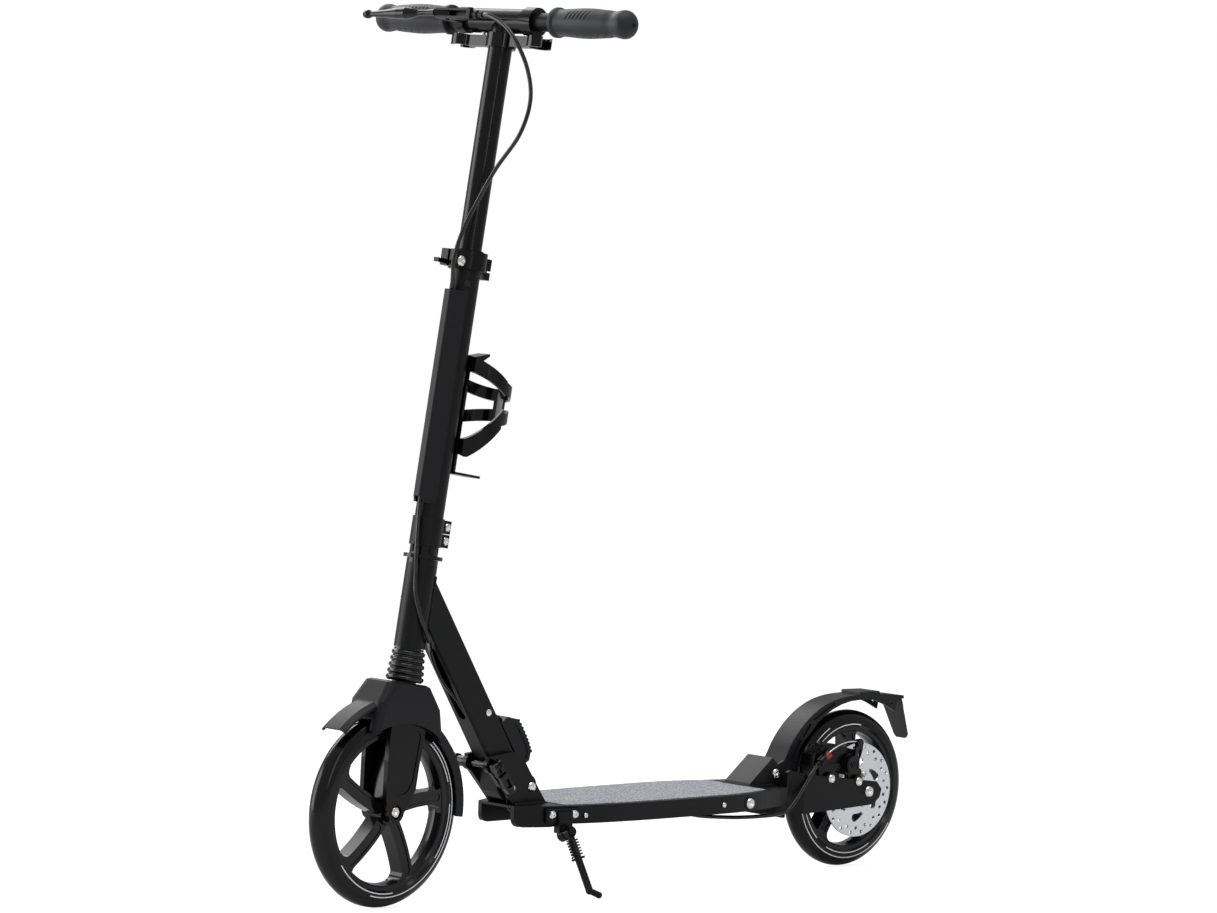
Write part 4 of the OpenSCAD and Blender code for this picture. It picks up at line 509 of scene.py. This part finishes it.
tube_points = [(335, 12, 309), (325, 4, 299), (313, 1, 279), (298, 0, 260), (277, 0, 240),
               (256, 0, 214), (236, 0, 190), (211.4, 0, 166), (197.4, 0, 143),
               (189.4, 0, 127), (189, 0, 114)]
deck_points = [
    (189, 0, 114), (187, 2, 105), (172, 10, 101), (138, 17, 101), (98.5, 18, 101),
    (20, 20, 99), (-58, 20, 95), (-92, 21, 86), (-115, 22.6, 81.5), (-142, 30, 79.5),
    (-168, 41, 79), (-205, 50.5, 80), (-225, 51.3, 81.5), (-239, 51.5, 85.5),
    (-250, 51.5, 94.5), (-262, 51.4, 108), (-272, 50.8, 119.5), (-280.5, 50.3, 129.4),
    (-292.3, 47, 137.8),
]
upper = smooth_route([on_stem(*p) for p in upper_points], per_span)
middle = smooth_route([on_stem(*p) for p in stem_points] + [on_head(*p) for p in head_points]
                      + [on_scooter(*p) for p in tube_points], per_span)
lower = smooth_route([on_scooter(*p) for p in deck_points], deck_per_span)

# %% Cable lengths
cable_radius = 0.0025
cable = finishes["cable_black"]
enters_tube = 14 * per_span
under_deck = 3 * deck_per_span
loop = sweep("cable_loop", upper, cable_radius, cable)
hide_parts("bar_cable")
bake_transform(loop)
head_cable = sweep("cable_head", middle[:enters_tube + 1], cable_radius, cable)
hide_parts("stem_cable")
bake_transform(head_cable)
fold_cable = sweep("cable_fold", middle[enters_tube:] + lower[1:under_deck + 1], cable_radius, cable)
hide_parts("down_tube_cable")
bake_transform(fold_cable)
deck_cable = sweep("cable_deck", lower[under_deck:], cable_radius, cable)
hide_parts("deck_cable", "arm_cable")
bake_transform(deck_cable)
print("cable in 4 lengths")

# %% [markdown]
# ## Grips
# The grips are dark grey rubber with a swollen middle, a thick collar at the inner end and a
# bulb at the outer one. Six slanted grooves are pressed in for the fingers, with two rows of
# small dimples below them. The outline is spun around the bar, and the grooves and dimples
# are pushed into the fine mesh.

# %% Grip outline
grip_length, grip_waist, grip_from = 123.0, 16.0, 85.0
grooves, groove_from, groove_pitch, groove_depth, groove_half = 6, 31, 6.2, 1.1, 1.5
groove_middle, groove_reach, groove_fade = map(math.radians, (24, 21, 5))
dimples, dimple_from, dimple_pitch, dimple_depth, dimple_half = 6, 46, 10.8, 0.9, 1.7
dimple_rows = ((-57, 0), (-76, 5.4))


def grip_outline():
    """Radius and distance along a grip, in millimetres, from its collar to its end."""
    points = [(0, 0), (8, 0), (17.2, 0), (17.6, 0.3), (18, 1.5)]
    points += [(18, 1.5 + 0.7 * k) for k in range(1, 6)] + [(17.2, 6), (16.3, 6.6)]
    for k in range(1, 116):
        y = 6.6 + k
        swell = 1.8 * math.sin(math.pi * min(1, k / 89)) ** 2
        neck = 0.9 * math.sin(math.pi * min(1, max(0, (y - 84) / 24))) ** 2
        bulb = 0.9 * min(1, max(0, (y - 97) / 11))
        rounding = max(0, (y - 110) / 13.6)
        points.append(((grip_waist + swell - neck + bulb) * math.sqrt(1 - rounding ** 2), y))
    return points + [(7.4, 122.4), (5, grip_length), (2.4, grip_length),
                     (2.2, grip_length - 1.6), (0, grip_length - 1.6)]


def pressed_in(along, angle):
    """How deep the grooves and dimples go at a place on the grip, in millimetres."""
    depth = 0.0
    turn = angle - groove_middle
    if abs(turn) < groove_reach:
        fade = min(1, (groove_reach - abs(turn)) / groove_fade)
        for k in range(grooves):
            slant = 0.34 * grip_waist * turn
            gap = abs(along - (groove_from + groove_pitch * k + slant))
            depth = max(depth, groove_depth * fade * max(0, 1 - (gap / groove_half) ** 2))
    for down, shift in dimple_rows:
        for k in range(dimples):
            gap = math.hypot(along - (dimple_from + dimple_pitch * k - shift),
                             grip_waist * (angle - math.radians(down)))
            depth = max(depth, dimple_depth * max(0, 1 - (gap / dimple_half) ** 2))
    return depth


# %% Make both grips
for grip_side, body in ((1, "left_grip"), (-1, "right_grip")):
    bm = bmesh.new()
    chain = [bm.verts.new((r / 1000, y / 1000, 0)) for r, y in grip_outline()]
    edges = [bm.edges.new(pair) for pair in zip(chain, chain[1:])]
    bmesh.ops.spin(bm, geom=chain + edges, cent=(0, 0, 0), axis=(0, 1, 0), angle=math.tau,
                   steps=150, use_merge=True)
    for vert in bm.verts:
        radius = math.hypot(vert.co.x, vert.co.z)
        if radius > 0.012:
            angle = math.atan2(vert.co.z, vert.co.x)
            smaller = 1 - pressed_in(vert.co.y * 1000, angle) / 1000 / radius
            vert.co.x *= smaller
            vert.co.z *= smaller
    place = turn_onto(bar_front, bar_side * grip_side, steer_axis,
                      on_stem(0, grip_side * grip_from, bar_s))
    bmesh.ops.transform(bm, matrix=place, verts=bm.verts)
    grip = add_piece(body + "_rubber", bm, body, finishes["grip_rubber"], 60)
    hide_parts(body)
    print(grip.name, len(grip.data.polygons), "faces")

# %% [markdown]
# ## Lines on the tyres
# The cast tyres carry thin white rings that are broken into arcs, printed on both flanks.
# Each arc is a thin ribbon, 1.25 mm wide, spun about the wheel's axle. It rides on the wheel
# and turns with it.

# %% Printed arcs
def printed_arc(bm, hub, axle, radius, offset, start, stop, width=1.25):
    """A ribbon on the flank of a tyre. Angles go from straight ahead upwards."""
    forward = axle.cross(Vector((0, 0, 1))).normalized()
    rise = forward.cross(axle)
    if rise.z < 0:
        rise = -rise
    arm = forward * math.cos(math.radians(start)) + rise * math.sin(math.radians(start))
    out = 1 if offset > 0 else -1
    half = width / 2
    corners = [(radius - half, offset), (radius + half, offset - out * 0.08),
               (radius + half, offset - out * 0.6), (radius - half, offset - out * 0.6)]
    verts = [bm.verts.new(hub + (arm * r + axle * y) / 1000) for r, y in corners]
    face = bm.faces.new(verts)
    sense = 1 if forward.cross(rise).dot(axle) > 0 else -1
    bmesh.ops.spin(bm, geom=[face] + list(face.edges) + verts, cent=hub, axis=axle,
                   angle=math.radians(stop - start) * sense, steps=max(6, int(stop - start) // 3))


front_arcs = [(101.5, 14.38, 129, 286), (97.2, 14.66, 128, 162), (97.2, 14.66, 178, 218),
              (97.2, 14.66, 265, 323)]
rear_arcs = [(82.4, 14.66, 43, 101), (88.6, 14.1, 17, 63), (82.4, 14.66, -47, -20),
             (88.6, 14.1, -147, -18), (82.4, 14.66, -118, -62)]
front_axle = Vector(joints["front_wheel_spin"]["axis"])
for name, hub, axle, arcs, body in (
    ("front_tyre_lines", front_hub, front_axle, front_arcs, "front_wheel"),
    ("rear_tyre_lines", rear_hub, side, rear_arcs, "rear_wheel"),
):
    bm = bmesh.new()
    for radius, offset, start, stop in arcs:
        for flank in (1, -1):
            printed_arc(bm, hub, axle, radius, offset * flank, start, stop)
    add_piece(name, bm, body, white_print)
    print(name, len(arcs), "arcs on each flank")

# %% [markdown]
# ## Weld beads
# The fold bracket, the fender bracket and the head tube are welded on. A weld bead is a row
# of overlapping ripples, so it is made as one: small overlapping balls along a line.

# %% Weld beads
def weld(bm, route, pitch=2.2, radius=2.1):
    for a, b in zip(route, route[1:]):
        steps = max(1, round((b - a).length * 1000 / pitch))
        for k in range(steps):
            centre = a.lerp(b, k / steps)
            ball = Matrix.Translation(centre) @ Matrix.Scale(radius / 1000, 4)
            bmesh.ops.create_icosphere(bm, subdivisions=1, radius=1, matrix=ball)


deck_z, bracket_y = 113.3, 22.4
bm = bmesh.new()
for y in (-bracket_y, bracket_y):
    weld(bm, [on_scooter(149, y, deck_z), on_scooter(200, y, deck_z)])
    weld(bm, [on_scooter(-200, y, deck_z), on_scooter(-239, y, deck_z)])
weld(bm, [on_scooter(-196.4, -bracket_y, deck_z), on_scooter(-196.4, bracket_y, deck_z)])
add_piece("deck_welds", bm, "chassis", finishes["black_paint"], 60)
bm = bmesh.new()
for y in (-1, 1):
    weld(bm, [on_head(-11.2, 15.4 * y, 338), on_head(-11.2, 15.4 * y, 395),
              on_head(-15.5, 10.5 * y, 391), on_head(-18.6, 0, 387)], radius=1.9)
add_piece("head_welds", bm, "front_frame", finishes["black_paint"], 60)
print("weld beads made")

# %% [markdown]
# ## Rivet and calliper details
# Bright rivet heads end the release pedal's pin on both sides of the down tube. The brake
# calliper has a ribbed cable adjuster, a red dust cap, a bare steel wire from the adjuster to
# the arm and a round boss with a socket screw on the arm's pivot.

# %% Rivet
rivet_x, rivet_z, tube_half = 239.6, 225.0, 15.0
rivet_dome = (0.0043, 0.0015, 0.0043, 1)
bm = bmesh.new()
for y in (-1, 1):
    place = turn_onto(ahead, side, up, on_scooter(rivet_x, y * (tube_half + 0.7), rivet_z))
    bmesh.ops.create_uvsphere(bm, u_segments=32, v_segments=16, radius=1,
                              matrix=place @ Matrix.Diagonal(rivet_dome))
add_piece("pedal_rivet", bm, "front_frame", finishes["steel"])
print("rivet heads made")

# %% Brake wire
wire_radius, wire_per_span = 0.0009, 8
wire = smooth_route([on_scooter(*p) for p in (
    (-303, 47, 144.6), (-309, 47, 149.5), (-318, 47.3, 156), (-333, 47.6, 162.5),
    (-349, 47.8, 165.5), (-362, 48, 165), (-368, 48, 163.5))], wire_per_span)
brake_wire = sweep("brake_wire", wire, wire_radius, finishes["steel"], sides=3)
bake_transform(brake_wire)

# %% Cable adjuster, dust cap and pivot boss
adjuster_line = (on_scooter(-293.3, 47, 138.5) - on_scooter(-306, 47, 146.5)).normalized()
adjuster_side = side.cross(adjuster_line).normalized()
adjuster_radius, adjuster_length, rib_share = 0.0056, 0.008, 0.86
bm = bmesh.new()
bmesh.ops.create_circle(bm, cap_ends=True, segments=36, radius=adjuster_radius)
for k, vert in enumerate(sorted(bm.verts, key=lambda v: math.atan2(v.co.y, v.co.x))):
    if k % 3 == 0:
        vert.co *= rib_share
walls = bmesh.ops.extrude_face_region(bm, geom=bm.faces[:] + bm.edges[:] + bm.verts[:])
bmesh.ops.translate(bm, vec=(0, 0, adjuster_length),
                    verts=[v for v in walls["geom"] if isinstance(v, bmesh.types.BMVert)])
place = turn_onto(adjuster_side, adjuster_line.cross(adjuster_side), adjuster_line,
                  on_scooter(-304.5, 47, 145.6))
bmesh.ops.transform(bm, matrix=place, verts=bm.verts)
add_piece("cable_adjuster", bm, "swing_arm", finishes["gloss_black_plastic"])

bm = bmesh.new()
bmesh.ops.create_cone(bm, cap_ends=True, segments=32, radius1=0.0046, radius2=0.0036,
                      depth=0.008)
place = turn_onto(adjuster_side, adjuster_line.cross(adjuster_side), adjuster_line,
                  on_scooter(-310.5, 47.2, 149.2))
bmesh.ops.transform(bm, matrix=place, verts=bm.verts)
add_piece("dust_cap", bm, "swing_arm", red_anodised)

boss_x, boss_z, boss_face = -356.0, 136.0, 50.0
bm = bmesh.new()
outline = [(0, -1.2), (2.1, -1.2), (2.3, 1.0), (3.9, 1.0), (4.6, 0.3), (4.8, -0.2),
           (7.4, -0.2), (7.7, 0.7), (9.0, 0.7), (9.4, -0.3)]
chain = [bm.verts.new((r / 1000, 0, y / 1000)) for r, y in outline]
edges = [bm.edges.new(pair) for pair in zip(chain, chain[1:])]
bmesh.ops.spin(bm, geom=chain + edges, cent=(0, 0, 0), axis=(0, 0, 1), angle=math.tau,
               steps=48, use_merge=True)
place = turn_onto(up, ahead, side, on_scooter(boss_x, boss_face, boss_z))
bmesh.ops.transform(bm, matrix=place, verts=bm.verts)
add_piece("pivot_boss", bm, "calliper_arm", finishes["gloss_black_plastic"])
print("calliper details made")

# %% [markdown]
# ## Fork bellows and spring
# Both hang from the stem and are pressed together as the fork slides up. Each is a copy of
# its solid with a mesh of its own, riding on the stem.

# %% Bellows and spring on the stem
for node, slot in (("fork_bellows", "bellows_rubber"), ("fork_spring", "steel")):
    bm = bmesh.new()
    bm.from_mesh(nodes[node].data)
    piece = add_piece(node + "_soft", bm, "stem", nodes[node].data.materials[0])
    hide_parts(node)
    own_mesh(piece)
